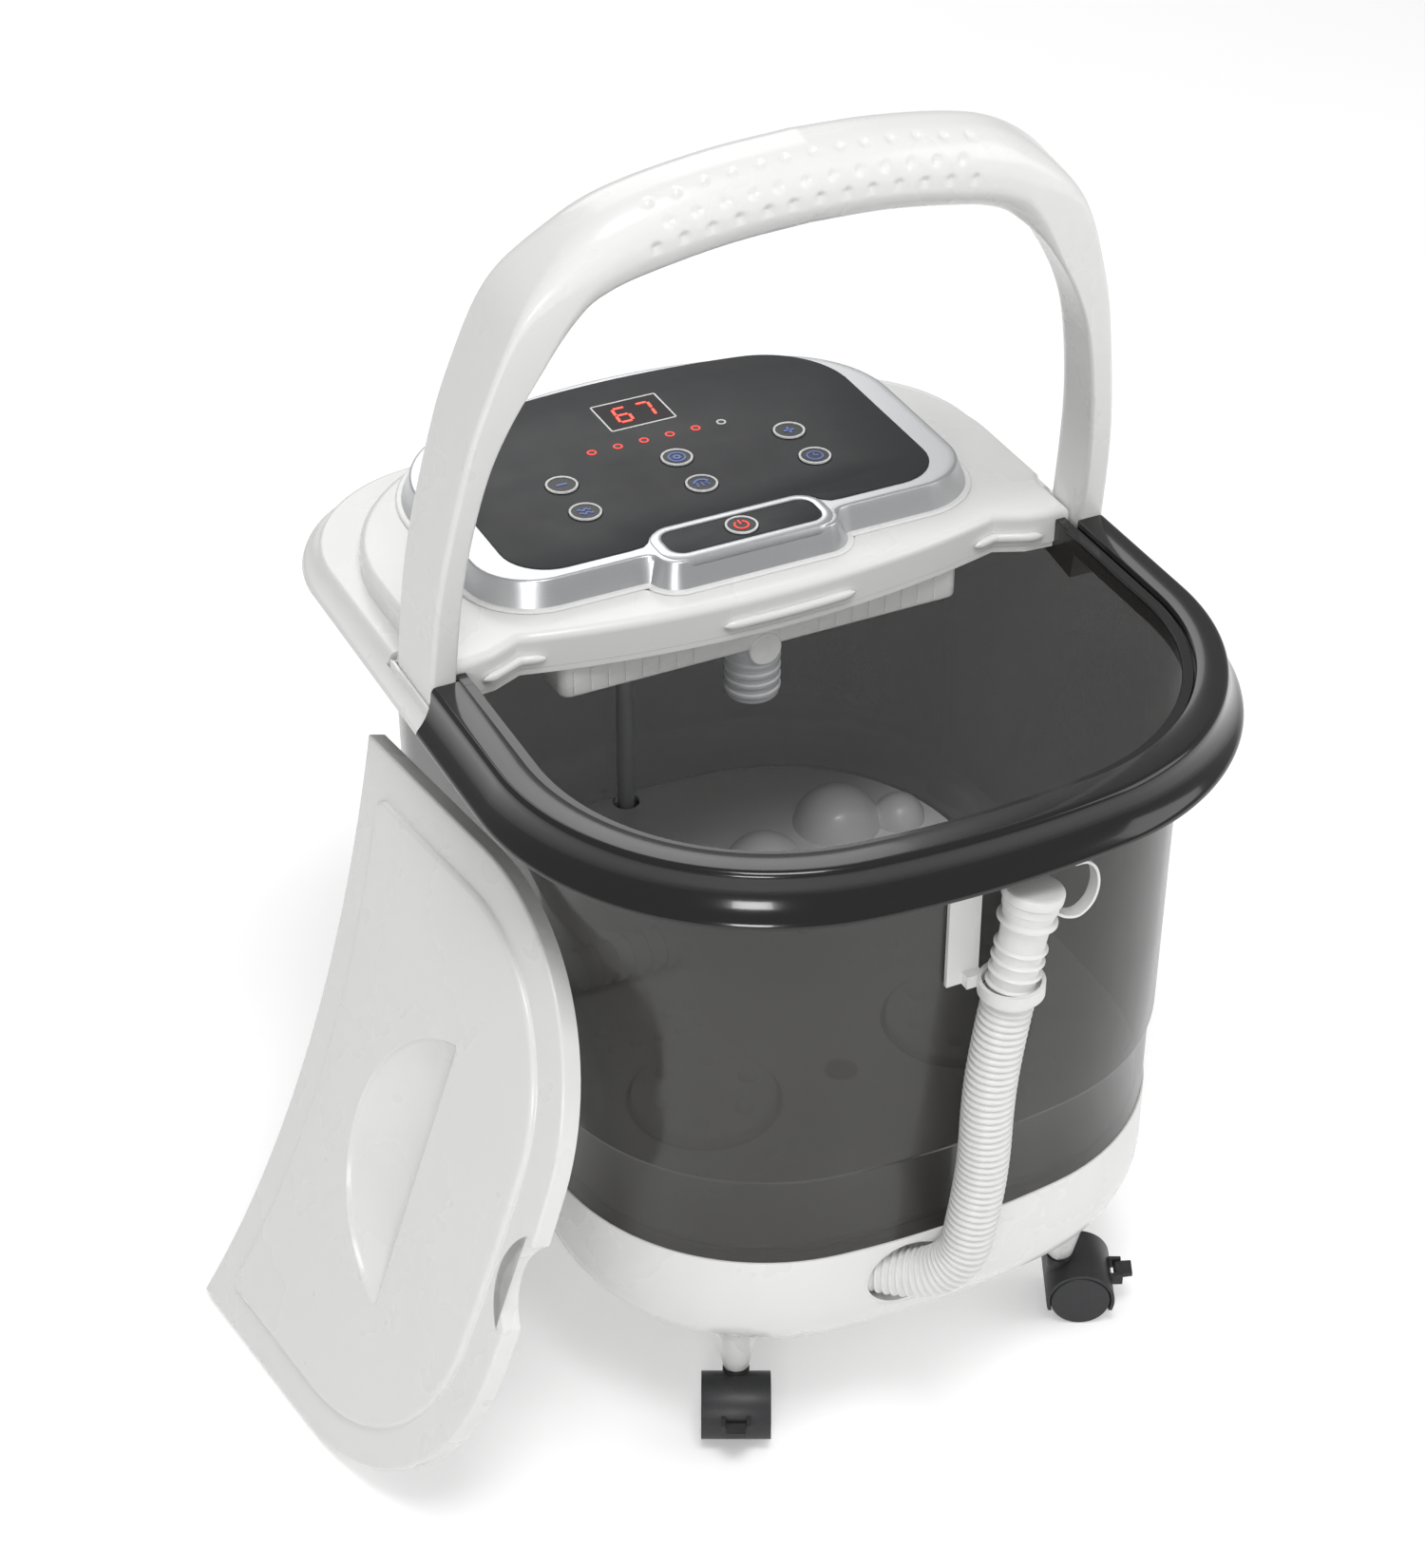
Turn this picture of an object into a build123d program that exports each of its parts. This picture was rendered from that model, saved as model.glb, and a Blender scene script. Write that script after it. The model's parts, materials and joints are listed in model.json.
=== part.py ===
from build123d import *
import math
import os

os.makedirs("parts", exist_ok=True)

# A free-standing foot spa basin in millimetres.  +Z is up, -Y is the front and
# the origin is on the floor under the middle of the tub.

# ---------------------------------------------------------------- tub outline
tub_half_width = 169.0
tub_half_length = 206.0
tub_corner = 122.0
cap_bulge = 3.0
tub_straight = tub_half_length - tub_corner - cap_bulge
wall = 3.0
gap = 0.4

# ---------------------------------------------------------------- tub heights
base_bottom = 62.0
base_top = 135.0
base_round = 40.0
base_grow = -3.5
floor_bottom = 138.0
floor_top = floor_bottom + wall
step_low = 187.0
step_high = 189.0
band_grow = -4.5
step_grow = -1.8
tub_top = 386.0

# ---------------------------------------------------------------- casters
caster_x = 97.0
caster_y = 153.0
boss_bottom = 36.0
boss_top = 72.0
boss_foot_radius = 7.0
boss_root_radius = 13.0
stem_radius = 4.0
stem_bottom = 17.2
stem_top = 64.0
collar_radius = 6.0
collar_height = 1.5
bore_gap = 0.05
wheel_radius = 16.0
wheel_half_width = 18.0
wheel_inner = 7.2
web_half = 6.8
trail = 11.0
hood_gap = 0.5
axle_radius = 2.5
brake_pin_radius = 1.2
brake_half_width = 5.0
caster_turns = {"fl": -116.0, "fr": -26.0, "rl": 150.0, "rr": 60.0}
caster_sides = {"fl": (-1, -1), "fr": (1, -1), "rl": (-1, 1), "rr": (1, 1)}

# ---------------------------------------------------------------- rim and skirt
arm_end = -3.4
ledge_end = 7.4
lip_reach = 28.5
lip_low = 366.2
rim_top = 392.0
skirt_reach = 209.5
skirt_corner = 63.5
skirt_straight = 138.0
skirt_start = -3.0
skirt_ledge = 380.0
skirt_plate = 3.0

# ---------------------------------------------------------------- rear cover
cover_low = 375.0
cover_top = 394.5
cover_half_width = 178.0
cover_waist = 174.1
cover_corner = 112.0
cover_corner_y = 98.0
cover_rear = 224.0
cover_round = 6.0
fascia_half = 134.0
fascia_sag = 17.0
wing_x = 150.0
wing_y = 10.0
wing_end_y = 8.0
shoulder_y = 36.0
shoulder_end_y = 46.0
base_plate_thickness = 3.0

# ---------------------------------------------------------------- control panel
panel_top = 410.0
panel_plate = 3.0
bezel_half_width = 136.0
bezel_slope = 6.0
panel_half_width = 121.0
pod_half_width = 50.0
pod_front = 24.0
pod_back = 54.0
key_radius = 8.8
key_travel = 0.8
key_gap = 0.25
key_column = 65.8
key_row_back = 117.5
key_row_front = 87.5
power_y = 41.0
lamp_y = 142.0
lamp_pitch = 15.1
lamp_radius = 2.5
display_y = 172.0
display_width = 38.0
display_depth = 28.5
board_bottom = 398.0
board_top = 399.6
switch_top = 402.0
key_bottom = switch_top + key_travel + 0.2

# ---------------------------------------------------------------- shower
bar_half_width = 113.0
bar_front = 14.0
bar_back = 42.0
bar_top = cover_low - base_plate_thickness
bar_height = 20.0
cup_radius = 15.0
cup_height = 34.0
pipe_radius = 5.0
pipe_wall = 1.2
pipe_y = 190.0
pipe_bend = 15.0

# ---------------------------------------------------------------- massage floor
spot_x = 75.0
disc_y = -70.0
disc_radius = 38.0
disc_hole = 41.0
disc_low = 142.0
disc_high = 149.0
shaft_radius = 4.0
roller_y = 40.0
roller_z = 158.0
roller_radius = 12.0
roller_half_length = 35.0
roller_axle = 3.0
cheek = 6.0
plate_top = 143.5
plate_grow = -9.0

# ---------------------------------------------------------------- pump
pump_y = -80.0
pump_radius = 28.0
pump_low = 95.0
pump_high = 125.0
chamber_radius = 23.0
motor_radius = 22.0
impeller_radius = 20.0
impeller_shaft = 2.0
drain_radius = 5.0
heater_radius = 12.0
heater_start = -44.0
heater_end = 150.0

# ---------------------------------------------------------------- handle
lean = 8.5
handle_front_y = -3.0
handle_base_z = 392.0
leg_inner = 174.5
leg_outer = 188.5
leg_depth = 45.0
leg_inner_depth = 30.0
leg_foot = 34.0
handle_split = 23.0
grip_half = 103.0
grip_thick = 41.0
grip_deep = 44.0
grip_round = 17.0

# ---------------------------------------------------------------- drain hose
hose_radius = 13.0
hose_bore = 9.5
hose_points = [
    (-38.3, -187.9, 110.2),
    (-20.0, -207.0, 111.0),
    (-5.0, -220.5, 129.0),
    (-2.0, -223.0, 158.0),
    (2.0, -223.5, 192.0),
    (2.5, -223.0, 232.0),
    (6.0, -223.0, 265.0),
    (10.3, -223.0, 290.0),
]
cuff_length = 58.0
cuff_ring_radius = 13.0
cuff_core_radius = 11.6
cuff_rings = 5
cuff_ring_pitch = 8.5
cap_radius = 15.0
cap_height = 6.0
plug_depth = 9.0

# ---------------------------------------------------------------- lid
lid_turn = -82.744
lid_tilt = 20.813
lid_foot = (-317.657, 53.632)
lid_half_width = 171.0
lid_front = 206.0
lid_corner = 124.0
lid_thickness = 11.0
lid_wall = 2.5
lid_rear_side = 36.7
lid_rear_middle = 10.6
lid_raise = 3.0
lid_border = 22.0


def cap_points(half_width, reach, corner, straight):
    """Middle and end of the corner arc that joins a straight side to a shallow end arc."""
    across = half_width - corner
    along = reach - straight
    cap = (across**2 + along**2 - corner**2) / (2 * (along - corner))
    turn = math.atan2(straight - (reach - cap), across)
    middle = (across + corner * math.cos(turn / 2), straight + corner * math.sin(turn / 2))
    end = (across + corner * math.cos(turn), straight + corner * math.sin(turn))
    return middle, end


def loop_face(half_width, reach, corner, straight, height):
    """A closed outline with straight sides and the same rounded end at the front and rear."""
    middle, end = cap_points(half_width, reach, corner, straight)
    with BuildSketch(Plane.XY.offset(height)) as face:
        with BuildLine():
            Line((half_width, -straight), (half_width, straight))
            ThreePointArc((half_width, straight), middle, end)
            ThreePointArc(end, (0, reach), (-end[0], end[1]))
            ThreePointArc((-end[0], end[1]), (-middle[0], middle[1]), (-half_width, straight))
            Line((-half_width, straight), (-half_width, -straight))
            ThreePointArc((-half_width, -straight), (-middle[0], -middle[1]), (-end[0], -end[1]))
            ThreePointArc((-end[0], -end[1]), (0, -reach), (end[0], -end[1]))
            ThreePointArc((end[0], -end[1]), (middle[0], -middle[1]), (half_width, -straight))
        make_face()
    return face.sketch


def tub_face(grow, height):
    """The tub's outline, grown or shrunk by the same amount all round."""
    return loop_face(
        tub_half_width + grow, tub_half_length + grow, tub_corner + grow, tub_straight, height
    )


def tub_block(levels):
    """A solid whose outline follows the tub at each (height, grow) level."""
    sections = [tub_face(grow, height) for height, grow in levels]
    with BuildPart() as block:
        loft(sections, ruled=True)
    return block.part


def tub_column(grow, low, high):
    """A straight solid of the tub's outline between two heights."""
    with BuildPart() as column:
        extrude(tub_face(grow, low), amount=high - low)
    return column.part


def end_path(half_width, reach, corner, straight, start, side):
    """A U-shaped path round one end of the tub; side is -1 at the front and 1 at the rear."""
    middle, end = cap_points(half_width, reach, corner, straight)
    with BuildLine() as path:
        Line((half_width, start), (half_width, side * straight))
        ThreePointArc(
            (half_width, side * straight), (middle[0], side * middle[1]), (end[0], side * end[1])
        )
        ThreePointArc((end[0], side * end[1]), (0, side * reach), (-end[0], side * end[1]))
        ThreePointArc(
            (-end[0], side * end[1]), (-middle[0], side * middle[1]), (-half_width, side * straight)
        )
        Line((-half_width, side * straight), (-half_width, start))
    return path.line


def side_plane(x, y, turn):
    """An upright plane through (x, y) whose x runs along the turn and whose normal is level."""
    angle = math.radians(turn)
    return Plane(
        origin=(x, y, 0),
        x_dir=(math.cos(angle), math.sin(angle), 0),
        z_dir=(math.sin(angle), -math.cos(angle), 0),
    )


def finish(part, name):
    """Label a finished piece and write it to its own file."""
    part.label = name
    export_step(part, f"parts/{name}.step")


# ================================================================ base
outlet_x = -25.0
outlet_z = 111.0
outlet_half_width = 24.0
outlet_half_height = 20.0
inlet_x = 0.0
inlet_z = 112.0
inlet_radius = 6.0
service_y = 70.0
service_size = 120.0

with BuildPart() as tray_space:
    extrude(tub_face(base_grow - wall, base_bottom + wall), amount=base_top - base_bottom)
    fillet(tray_space.edges().group_by(Axis.Z)[0], radius=base_round - wall)

with BuildPart() as base_tray:
    extrude(tub_face(base_grow, base_bottom), amount=base_top - base_bottom)
    fillet(base_tray.edges().group_by(Axis.Z)[0], radius=base_round)
    add(tray_space.part, mode=Mode.SUBTRACT)
    for sign_x, sign_y in caster_sides.values():
        with BuildSketch(side_plane(sign_x * caster_x, sign_y * caster_y, 0)):
            with BuildLine():
                Polyline(
                    (0, boss_bottom),
                    (boss_foot_radius, boss_bottom),
                    (boss_root_radius, base_bottom),
                    (boss_root_radius, boss_top),
                    (0, boss_top),
                    close=True,
                )
            make_face()
        revolve(axis=Axis((sign_x * caster_x, sign_y * caster_y, 0), (0, 0, 1)))
        with BuildSketch(Plane.XY.offset(boss_bottom)):
            with Locations((sign_x * caster_x, sign_y * caster_y)):
                Circle(stem_radius)
        extrude(amount=stem_top - boss_bottom, mode=Mode.SUBTRACT)
    # service opening in the floor, closed by the base plate
    with BuildSketch(Plane.XY.offset(base_bottom - 1)):
        with Locations((0, service_y)):
            Rectangle(service_size, service_size)
    extrude(amount=wall + 2, mode=Mode.SUBTRACT)
    # oval hole for the drain outlet and round hole for the cord gland
    with BuildSketch(Plane.XZ.offset(tub_half_length - 25)):
        with Locations((outlet_x, outlet_z)):
            Ellipse(outlet_half_width, outlet_half_height)
    extrude(amount=40, mode=Mode.SUBTRACT)
    with BuildSketch(Plane.XZ.offset(25 - tub_half_length)):
        with Locations((inlet_x, inlet_z)):
            Circle(inlet_radius)
    extrude(amount=-40, mode=Mode.SUBTRACT)
finish(base_tray.part, "base_tray")

plate_half = 72.0
plate_low_y = 0.0
plate_high_y = 142.0
screw_x = 66.0
screw_rows = (6.0, 70.0, 136.0)
screw_head_radius = 3.2
screw_radius = 1.6

with BuildPart() as base_plate:
    with BuildSketch(Plane.XY.offset(base_bottom - wall)):
        with Locations((0, (plate_low_y + plate_high_y) / 2)):
            RectangleRounded(2 * plate_half, plate_high_y - plate_low_y, 8)
    extrude(amount=wall)
    with BuildSketch(Plane.XY.offset(base_bottom - wall)):
        for side in (-1, 1):
            for row in screw_rows:
                with Locations((side * screw_x, row)):
                    Circle(screw_radius)
    extrude(amount=wall, mode=Mode.SUBTRACT)
finish(base_plate.part, "base_plate")

with BuildPart() as base_screws:
    for side in (-1, 1):
        for row in screw_rows:
            with BuildSketch(Plane.XY.offset(base_bottom - wall)):
                with Locations((side * screw_x, row)):
                    Circle(screw_head_radius)
            extrude(amount=-1.6)
            with BuildSketch(Plane.XY.offset(base_bottom - wall)):
                with Locations((side * screw_x, row)):
                    Circle(screw_radius)
            extrude(amount=wall)
finish(base_screws.part, "base_screws")

# the cup that the drain hose leaves through: an oval dish with a slanted socket
hose_start = Vector(*hose_points[0])
hose_aim = (Vector(*hose_points[1]) - hose_start).normalized()
socket_plane = Plane(origin=hose_start, z_dir=hose_aim)
cup_depth = 46.0
cup_front_y = -(tub_half_length + base_grow - wall)
with BuildPart() as hose_outlet:
    with BuildSketch(Plane.XZ.offset(-cup_front_y + 0.6)):
        with Locations((outlet_x, outlet_z)):
            Ellipse(outlet_half_width, outlet_half_height)
    extrude(amount=-cup_depth)
    with BuildSketch(Plane.XZ.offset(-cup_front_y + 0.6)):
        with Locations((outlet_x, outlet_z)):
            Ellipse(outlet_half_width - 2, outlet_half_height - 2)
    extrude(amount=-22, mode=Mode.SUBTRACT)
    with BuildSketch(socket_plane):
        Circle(hose_radius + 1)
    extrude(amount=40, mode=Mode.SUBTRACT)
    with BuildSketch(socket_plane.offset(-30)):
        Circle(hose_bore)
    extrude(amount=40, mode=Mode.SUBTRACT)
finish(hose_outlet.part, "hose_outlet")

with BuildPart() as cord_gland:
    rear_wall_y = tub_half_length + base_grow
    with BuildSketch(Plane.XZ.offset(-(rear_wall_y - wall - 3))):
        with Locations((inlet_x, inlet_z)):
            Circle(inlet_radius)
    extrude(amount=-(wall + 8))
    with BuildSketch(Plane.XZ.offset(-rear_wall_y)):
        with Locations((inlet_x, inlet_z)):
            Circle(inlet_radius + 3)
    extrude(amount=-2.5)
    with BuildSketch(Plane.XZ.offset(-(rear_wall_y + 3))):
        with Locations((inlet_x, inlet_z)):
            Circle(inlet_radius - 0.5)
    extrude(amount=-14, taper=6)
    with BuildSketch(Plane.XZ.offset(-(rear_wall_y - 10))):
        with Locations((inlet_x, inlet_z)):
            Circle(2.8)
    extrude(amount=-40, mode=Mode.SUBTRACT)
finish(cord_gland.part, "cord_gland")

# ================================================================ casters
with BuildPart() as caster_stems:
    for sign_x, sign_y in caster_sides.values():
        with BuildSketch(Plane.XY.offset(stem_bottom)):
            with Locations((sign_x * caster_x, sign_y * caster_y)):
                Circle(stem_radius)
        extrude(amount=stem_top - stem_bottom)
        with BuildSketch(Plane.XY.offset(boss_bottom - collar_height)):
            with Locations((sign_x * caster_x, sign_y * caster_y)):
                Circle(collar_radius)
        extrude(amount=collar_height)
finish(caster_stems.part, "caster_stems")

hood_top = boss_bottom - collar_height - 0.2
hood_radius = hood_top - wheel_radius
hood_inner = wheel_radius + hood_gap
socket_radius = 7.0
ear_inner = brake_half_width + 0.4
ear_outer = ear_inner + 2.2
brake_reach = trail + hood_radius + 2.7
brake_z = wheel_radius + 6.0
ear_width = 6.8
ear_height = 6.4
ear_setback = 1.2
brake_knuckle = 2.2
brake_tab = 7.5
tab_rise = 0.6
tab_thickness = 2.4
tab_root_drop = 1.0
hood_open_height = 1.3
socket_length = 5.0
wheel_edge = 1.2

for corner, (sign_x, sign_y) in caster_sides.items():
    turn = caster_turns[corner]
    centre_x = sign_x * caster_x
    centre_y = sign_y * caster_y
    side = side_plane(centre_x, centre_y, turn)

    with BuildPart() as hood:
        # rounded cover over the wheel, open below
        with BuildSketch(side):
            with Locations((trail, wheel_radius)):
                Circle(hood_radius)
                Circle(hood_inner, mode=Mode.SUBTRACT)
            with Locations((trail, wheel_radius - hood_radius)):
                Rectangle(4 * hood_radius, hood_open_height * hood_radius, mode=Mode.SUBTRACT)
        extrude(amount=wheel_half_width, both=True)
        # the web between the two wheel discs carries the stem socket and the axle
        with BuildSketch(side):
            with Locations((trail, wheel_radius)):
                Circle(hood_inner)
            with Locations((trail, wheel_radius - hood_radius)):
                Rectangle(4 * hood_radius, hood_open_height * hood_radius, mode=Mode.SUBTRACT)
            with Locations((trail, wheel_radius)):
                Circle(axle_radius + 4)
        extrude(amount=web_half, both=True)
        with BuildSketch(Plane.XY.offset(wheel_radius)):
            with Locations((centre_x, centre_y)):
                Circle(web_half)
        extrude(amount=hood_top - wheel_radius)
        with BuildSketch(Plane.XY.offset(wheel_radius + hood_radius - socket_length)):
            with Locations((centre_x, centre_y)):
                Circle(socket_radius)
        extrude(amount=socket_length)
        # ears for the brake lever
        for hand in (-1, 1):
            with BuildSketch(side.offset(hand * (ear_inner + ear_outer) / 2)):
                with Locations((brake_reach - ear_setback, brake_z)):
                    Rectangle(ear_width, ear_height)
            extrude(amount=(ear_outer - ear_inner) / 2, both=True)
        with BuildSketch(side):
            with Locations((brake_reach, brake_z)):
                Circle(brake_pin_radius + bore_gap)
        extrude(amount=ear_outer + 1, both=True, mode=Mode.SUBTRACT)
        with BuildSketch(side):
            with Locations((trail, wheel_radius)):
                Circle(axle_radius + bore_gap)
        extrude(amount=web_half + 1, both=True, mode=Mode.SUBTRACT)
        with BuildSketch(Plane.XY.offset(stem_bottom - 0.2)):
            with Locations((centre_x, centre_y)):
                Circle(stem_radius + bore_gap)
        extrude(amount=30, mode=Mode.SUBTRACT)
    finish(hood.part, f"caster_hood_{corner}")

    with BuildPart() as wheels:
        for hand in (-1, 1):
            with BuildSketch(side.offset(hand * wheel_inner)):
                with Locations((trail, wheel_radius)):
                    Circle(wheel_radius)
            extrude(amount=hand * (wheel_half_width - wheel_inner))
        fillet(wheels.edges().filter_by(GeomType.CIRCLE), radius=wheel_edge)
        with BuildSketch(side):
            with Locations((trail, wheel_radius)):
                Circle(axle_radius)
        extrude(amount=wheel_inner + 1, both=True)
    finish(wheels.part, f"caster_wheels_{corner}")

    with BuildPart() as brake:
        with BuildSketch(side):
            with Locations((brake_reach, brake_z)):
                Circle(brake_knuckle)
            with BuildLine():
                Polyline(
                    (brake_reach, brake_z + brake_knuckle),
                    (brake_reach + brake_tab, brake_z + brake_knuckle + tab_rise),
                    (brake_reach + brake_tab, brake_z + brake_knuckle + tab_rise - tab_thickness),
                    (brake_reach, brake_z - tab_root_drop),
                    close=True,
                )
            make_face()
        extrude(amount=brake_half_width, both=True)
        with BuildSketch(side):
            with Locations((brake_reach, brake_z)):
                Circle(brake_pin_radius)
        extrude(amount=ear_outer, both=True)
    finish(brake.part, f"caster_brake_{corner}")

# ================================================================ tub
with BuildPart() as basin:
    add(
        tub_block(
            [
                (base_top, band_grow),
                (step_low, band_grow + 0.3),
                (step_high, step_grow),
                (tub_top, 0.0),
            ]
        )
    )
    add(
        tub_block(
            [
                (floor_top, band_grow - wall),
                (step_low, band_grow + 0.3 - wall),
                (step_high + 1, step_grow - wall),
                (tub_top + 1, -wall),
            ]
        ),
        mode=Mode.SUBTRACT,
    )
    add(tub_column(band_grow - wall, base_top - 1, floor_bottom), mode=Mode.SUBTRACT)
    with BuildSketch(Plane.XY.offset(base_top)):
        for side in (-1, 1):
            with Locations((side * spot_x, disc_y)):
                Circle(shaft_radius + bore_gap)
        with Locations((0, pump_y)):
            Circle(drain_radius)
        with Locations((0, pipe_y)):
            Circle(pipe_radius)
    extrude(amount=10, mode=Mode.SUBTRACT)
finish(basin.part, "basin")

dome_spots = ((101.0, 118.0, 26.0, 140.0), (43.0, 96.0, 24.0, 141.0), (135.0, 106.0, 15.0, 144.0))
nub_radius = 3.6
with BuildPart() as massage_floor:
    add(tub_column(plate_grow, floor_top, plate_top))
    for side in (-1, 1):
        for spot, depth, radius, centre_z in dome_spots:
            with Locations((side * spot, depth, centre_z)):
                Sphere(radius)
        for hand in (-1, 1):
            with BuildSketch(
                Plane.YZ.offset(side * spot_x + hand * (roller_half_length + cheek / 2 + 0.5))
            ):
                with Locations((roller_y, (floor_top + roller_z + 5) / 2)):
                    Rectangle(16, roller_z + 5 - floor_top)
                with Locations((roller_y, roller_z)):
                    Circle(roller_axle + bore_gap, mode=Mode.SUBTRACT)
            extrude(amount=cheek / 2, both=True)
        for step_x in range(-2, 3):
            for spot_y in (-136.0, -122.0, -14.0, 2.0, 68.0):
                with Locations((side * spot_x + 13.0 * step_x, spot_y, plate_top - 0.6)):
                    Sphere(nub_radius)
    with Locations((0, 0, floor_top - 30)):
        Box(400, 500, 60, mode=Mode.SUBTRACT)
    with BuildSketch(Plane.XY.offset(floor_top)):
        for side in (-1, 1):
            with Locations((side * spot_x, disc_y)):
                Circle(disc_hole)
        with Locations((0, pump_y)):
            Circle(drain_radius + 4)
        with Locations((0, pipe_y)):
            Circle(pipe_radius + 3)
    extrude(amount=30, mode=Mode.SUBTRACT)
finish(massage_floor.part, "massage_floor")

disc_nub = 5.0
for side, name in ((-1, "disc_left"), (1, "disc_right")):
    with BuildPart() as disc:
        with BuildSketch(Plane.XY.offset(disc_low)):
            with Locations((side * spot_x, disc_y)):
                Circle(disc_radius)
        extrude(amount=disc_high - disc_low)
        fillet(disc.edges().group_by(Axis.Z)[-1], radius=2.5)
        for count in range(6):
            nub_angle = math.radians(60 * count)
            nub_x = side * spot_x + 25 * math.cos(nub_angle)
            with Locations((nub_x, disc_y + 25 * math.sin(nub_angle), disc_high)):
                Sphere(disc_nub)
        with BuildSketch(Plane.XY.offset(disc_low + 1)):
            with Locations((side * spot_x, disc_y)):
                Circle(shaft_radius)
        extrude(amount=-22)
    finish(disc.part, name)

for side, name in ((-1, "roller_left"), (1, "roller_right")):
    with BuildPart() as roller:
        with BuildSketch(Plane.YZ.offset(side * spot_x)):
            with Locations((roller_y, roller_z)):
                Circle(roller_radius - 2)
        extrude(amount=roller_half_length, both=True)
        for ring in range(-3, 4):
            with BuildSketch(Plane.YZ.offset(side * spot_x + ring * 9.5)):
                with Locations((roller_y, roller_z)):
                    Circle(roller_radius)
            extrude(amount=2.4, both=True)
        with BuildSketch(Plane.YZ.offset(side * spot_x)):
            with Locations((roller_y, roller_z)):
                Circle(roller_axle)
        extrude(amount=roller_half_length + cheek, both=True)
    finish(roller.part, name)

with BuildPart() as massage_motors:
    for side in (-1, 1):
        with BuildSketch(Plane.XY.offset(floor_bottom)):
            with Locations((side * spot_x, disc_y)):
                Circle(20)
                Rectangle(50, 12)
        extrude(amount=-10)
        with BuildSketch(Plane.XY.offset(floor_bottom - 10)):
            with Locations((side * spot_x, disc_y)):
                Circle(16)
        extrude(amount=-34)
        with BuildSketch(Plane.XY.offset(floor_bottom)):
            with Locations((side * spot_x, disc_y)):
                Circle(shaft_radius + bore_gap)
        extrude(amount=-20, mode=Mode.SUBTRACT)
finish(massage_motors.part, "massage_motors")

# ================================================================ pump and heater
pump_middle = (pump_low + pump_high) / 2
with BuildPart() as pump_motor:
    with BuildSketch(Plane.XY.offset(base_bottom + wall)):
        with Locations((0, pump_y)):
            Circle(motor_radius)
    extrude(amount=pump_low - base_bottom - wall)
    with BuildSketch(Plane.XY.offset(pump_low)):
        with Locations((0, pump_y)):
            Circle(impeller_shaft + bore_gap)
    extrude(amount=-15, mode=Mode.SUBTRACT)
finish(pump_motor.part, "pump_motor")

with BuildPart() as pump_body:
    with BuildSketch(Plane.XY.offset(pump_low)):
        with Locations((0, pump_y)):
            Circle(pump_radius)
    extrude(amount=pump_high - pump_low)
    with BuildSketch(Plane.XY.offset(pump_high)):
        with Locations((0, pump_y)):
            Circle(drain_radius + 3)
    extrude(amount=floor_bottom - pump_high)
    with BuildSketch(Plane.XZ.offset(-heater_start)):
        with Locations((0, pump_middle)):
            Circle(drain_radius + 2)
    extrude(amount=20)
    with BuildSketch(Plane.XZ.offset(-heater_start)):
        with Locations((0, pump_middle)):
            Circle(drain_radius)
    extrude(amount=20, mode=Mode.SUBTRACT)
    with BuildSketch(Plane.XY.offset(pump_low + wall)):
        with Locations((0, pump_y)):
            Circle(chamber_radius)
    extrude(amount=pump_high - pump_low - 2 * wall, mode=Mode.SUBTRACT)
    with BuildSketch(Plane.XY.offset(pump_high - wall - 1)):
        with Locations((0, pump_y)):
            Circle(drain_radius)
    extrude(amount=30, mode=Mode.SUBTRACT)
    with BuildSketch(Plane.XY.offset(pump_low - 1)):
        with Locations((0, pump_y)):
            Circle(impeller_shaft + bore_gap)
    extrude(amount=wall + 2, mode=Mode.SUBTRACT)
finish(pump_body.part, "pump_body")

with BuildPart() as pump_impeller:
    with BuildSketch(Plane.XY.offset(pump_low + wall + 1)):
        with Locations((0, pump_y)):
            Circle(impeller_radius)
    extrude(amount=2)
    with BuildSketch(Plane.XY.offset(pump_low + wall + 1)):
        with Locations((0, pump_y)):
            Circle(5)
        for count in range(6):
            with Locations(Location((0, pump_y, 0), (0, 0, 60 * count))):
                with Locations((impeller_radius / 2, 0)):
                    Rectangle(impeller_radius - 1, 1.8)
    extrude(amount=pump_high - pump_low - 2 * wall - 4)
    with BuildSketch(Plane.XY.offset(pump_low + wall + 2)):
        with Locations((0, pump_y)):
            Circle(impeller_shaft)
    extrude(amount=-16)
finish(pump_impeller.part, "pump_impeller")

with BuildPart() as heater_tube:
    with BuildSketch(Plane.XZ.offset(-heater_start)):
        with Locations((0, pump_middle)):
            Circle(drain_radius + 2)
    extrude(amount=heater_start - heater_end)
    with BuildSketch(Plane.XZ.offset(-heater_start - 10)):
        with Locations((0, pump_middle)):
            Circle(heater_radius)
    extrude(amount=heater_start + 20 - heater_end)
    for foot_y in (-20.0, heater_end - 16):
        with BuildSketch(Plane.XZ.offset(-foot_y)):
            with Locations((0, (base_bottom + wall + pump_middle) / 2)):
                Rectangle(14, pump_middle - base_bottom - wall)
        extrude(amount=-6)
    with BuildSketch(Plane.XZ.offset(-heater_start + 1)):
        with Locations((0, pump_middle)):
            Circle(drain_radius)
    extrude(amount=heater_start - heater_end - 2, mode=Mode.SUBTRACT)
finish(heater_tube.part, "heater_tube")

with BuildPart() as shower_pipe:
    with BuildLine():
        pipe_line = FilletPolyline(
            (0, heater_end, pump_middle),
            (0, pipe_y, pump_middle),
            (0, pipe_y, bar_top - bar_height / 2),
            (0, bar_back, bar_top - bar_height / 2),
            radius=pipe_bend,
        )
    with BuildSketch(Plane.XZ.offset(-heater_end)):
        with Locations((0, pump_middle)):
            Circle(pipe_radius)
            Circle(pipe_radius - pipe_wall, mode=Mode.SUBTRACT)
    sweep(path=pipe_line)
finish(shower_pipe.part, "shower_pipe")

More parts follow.
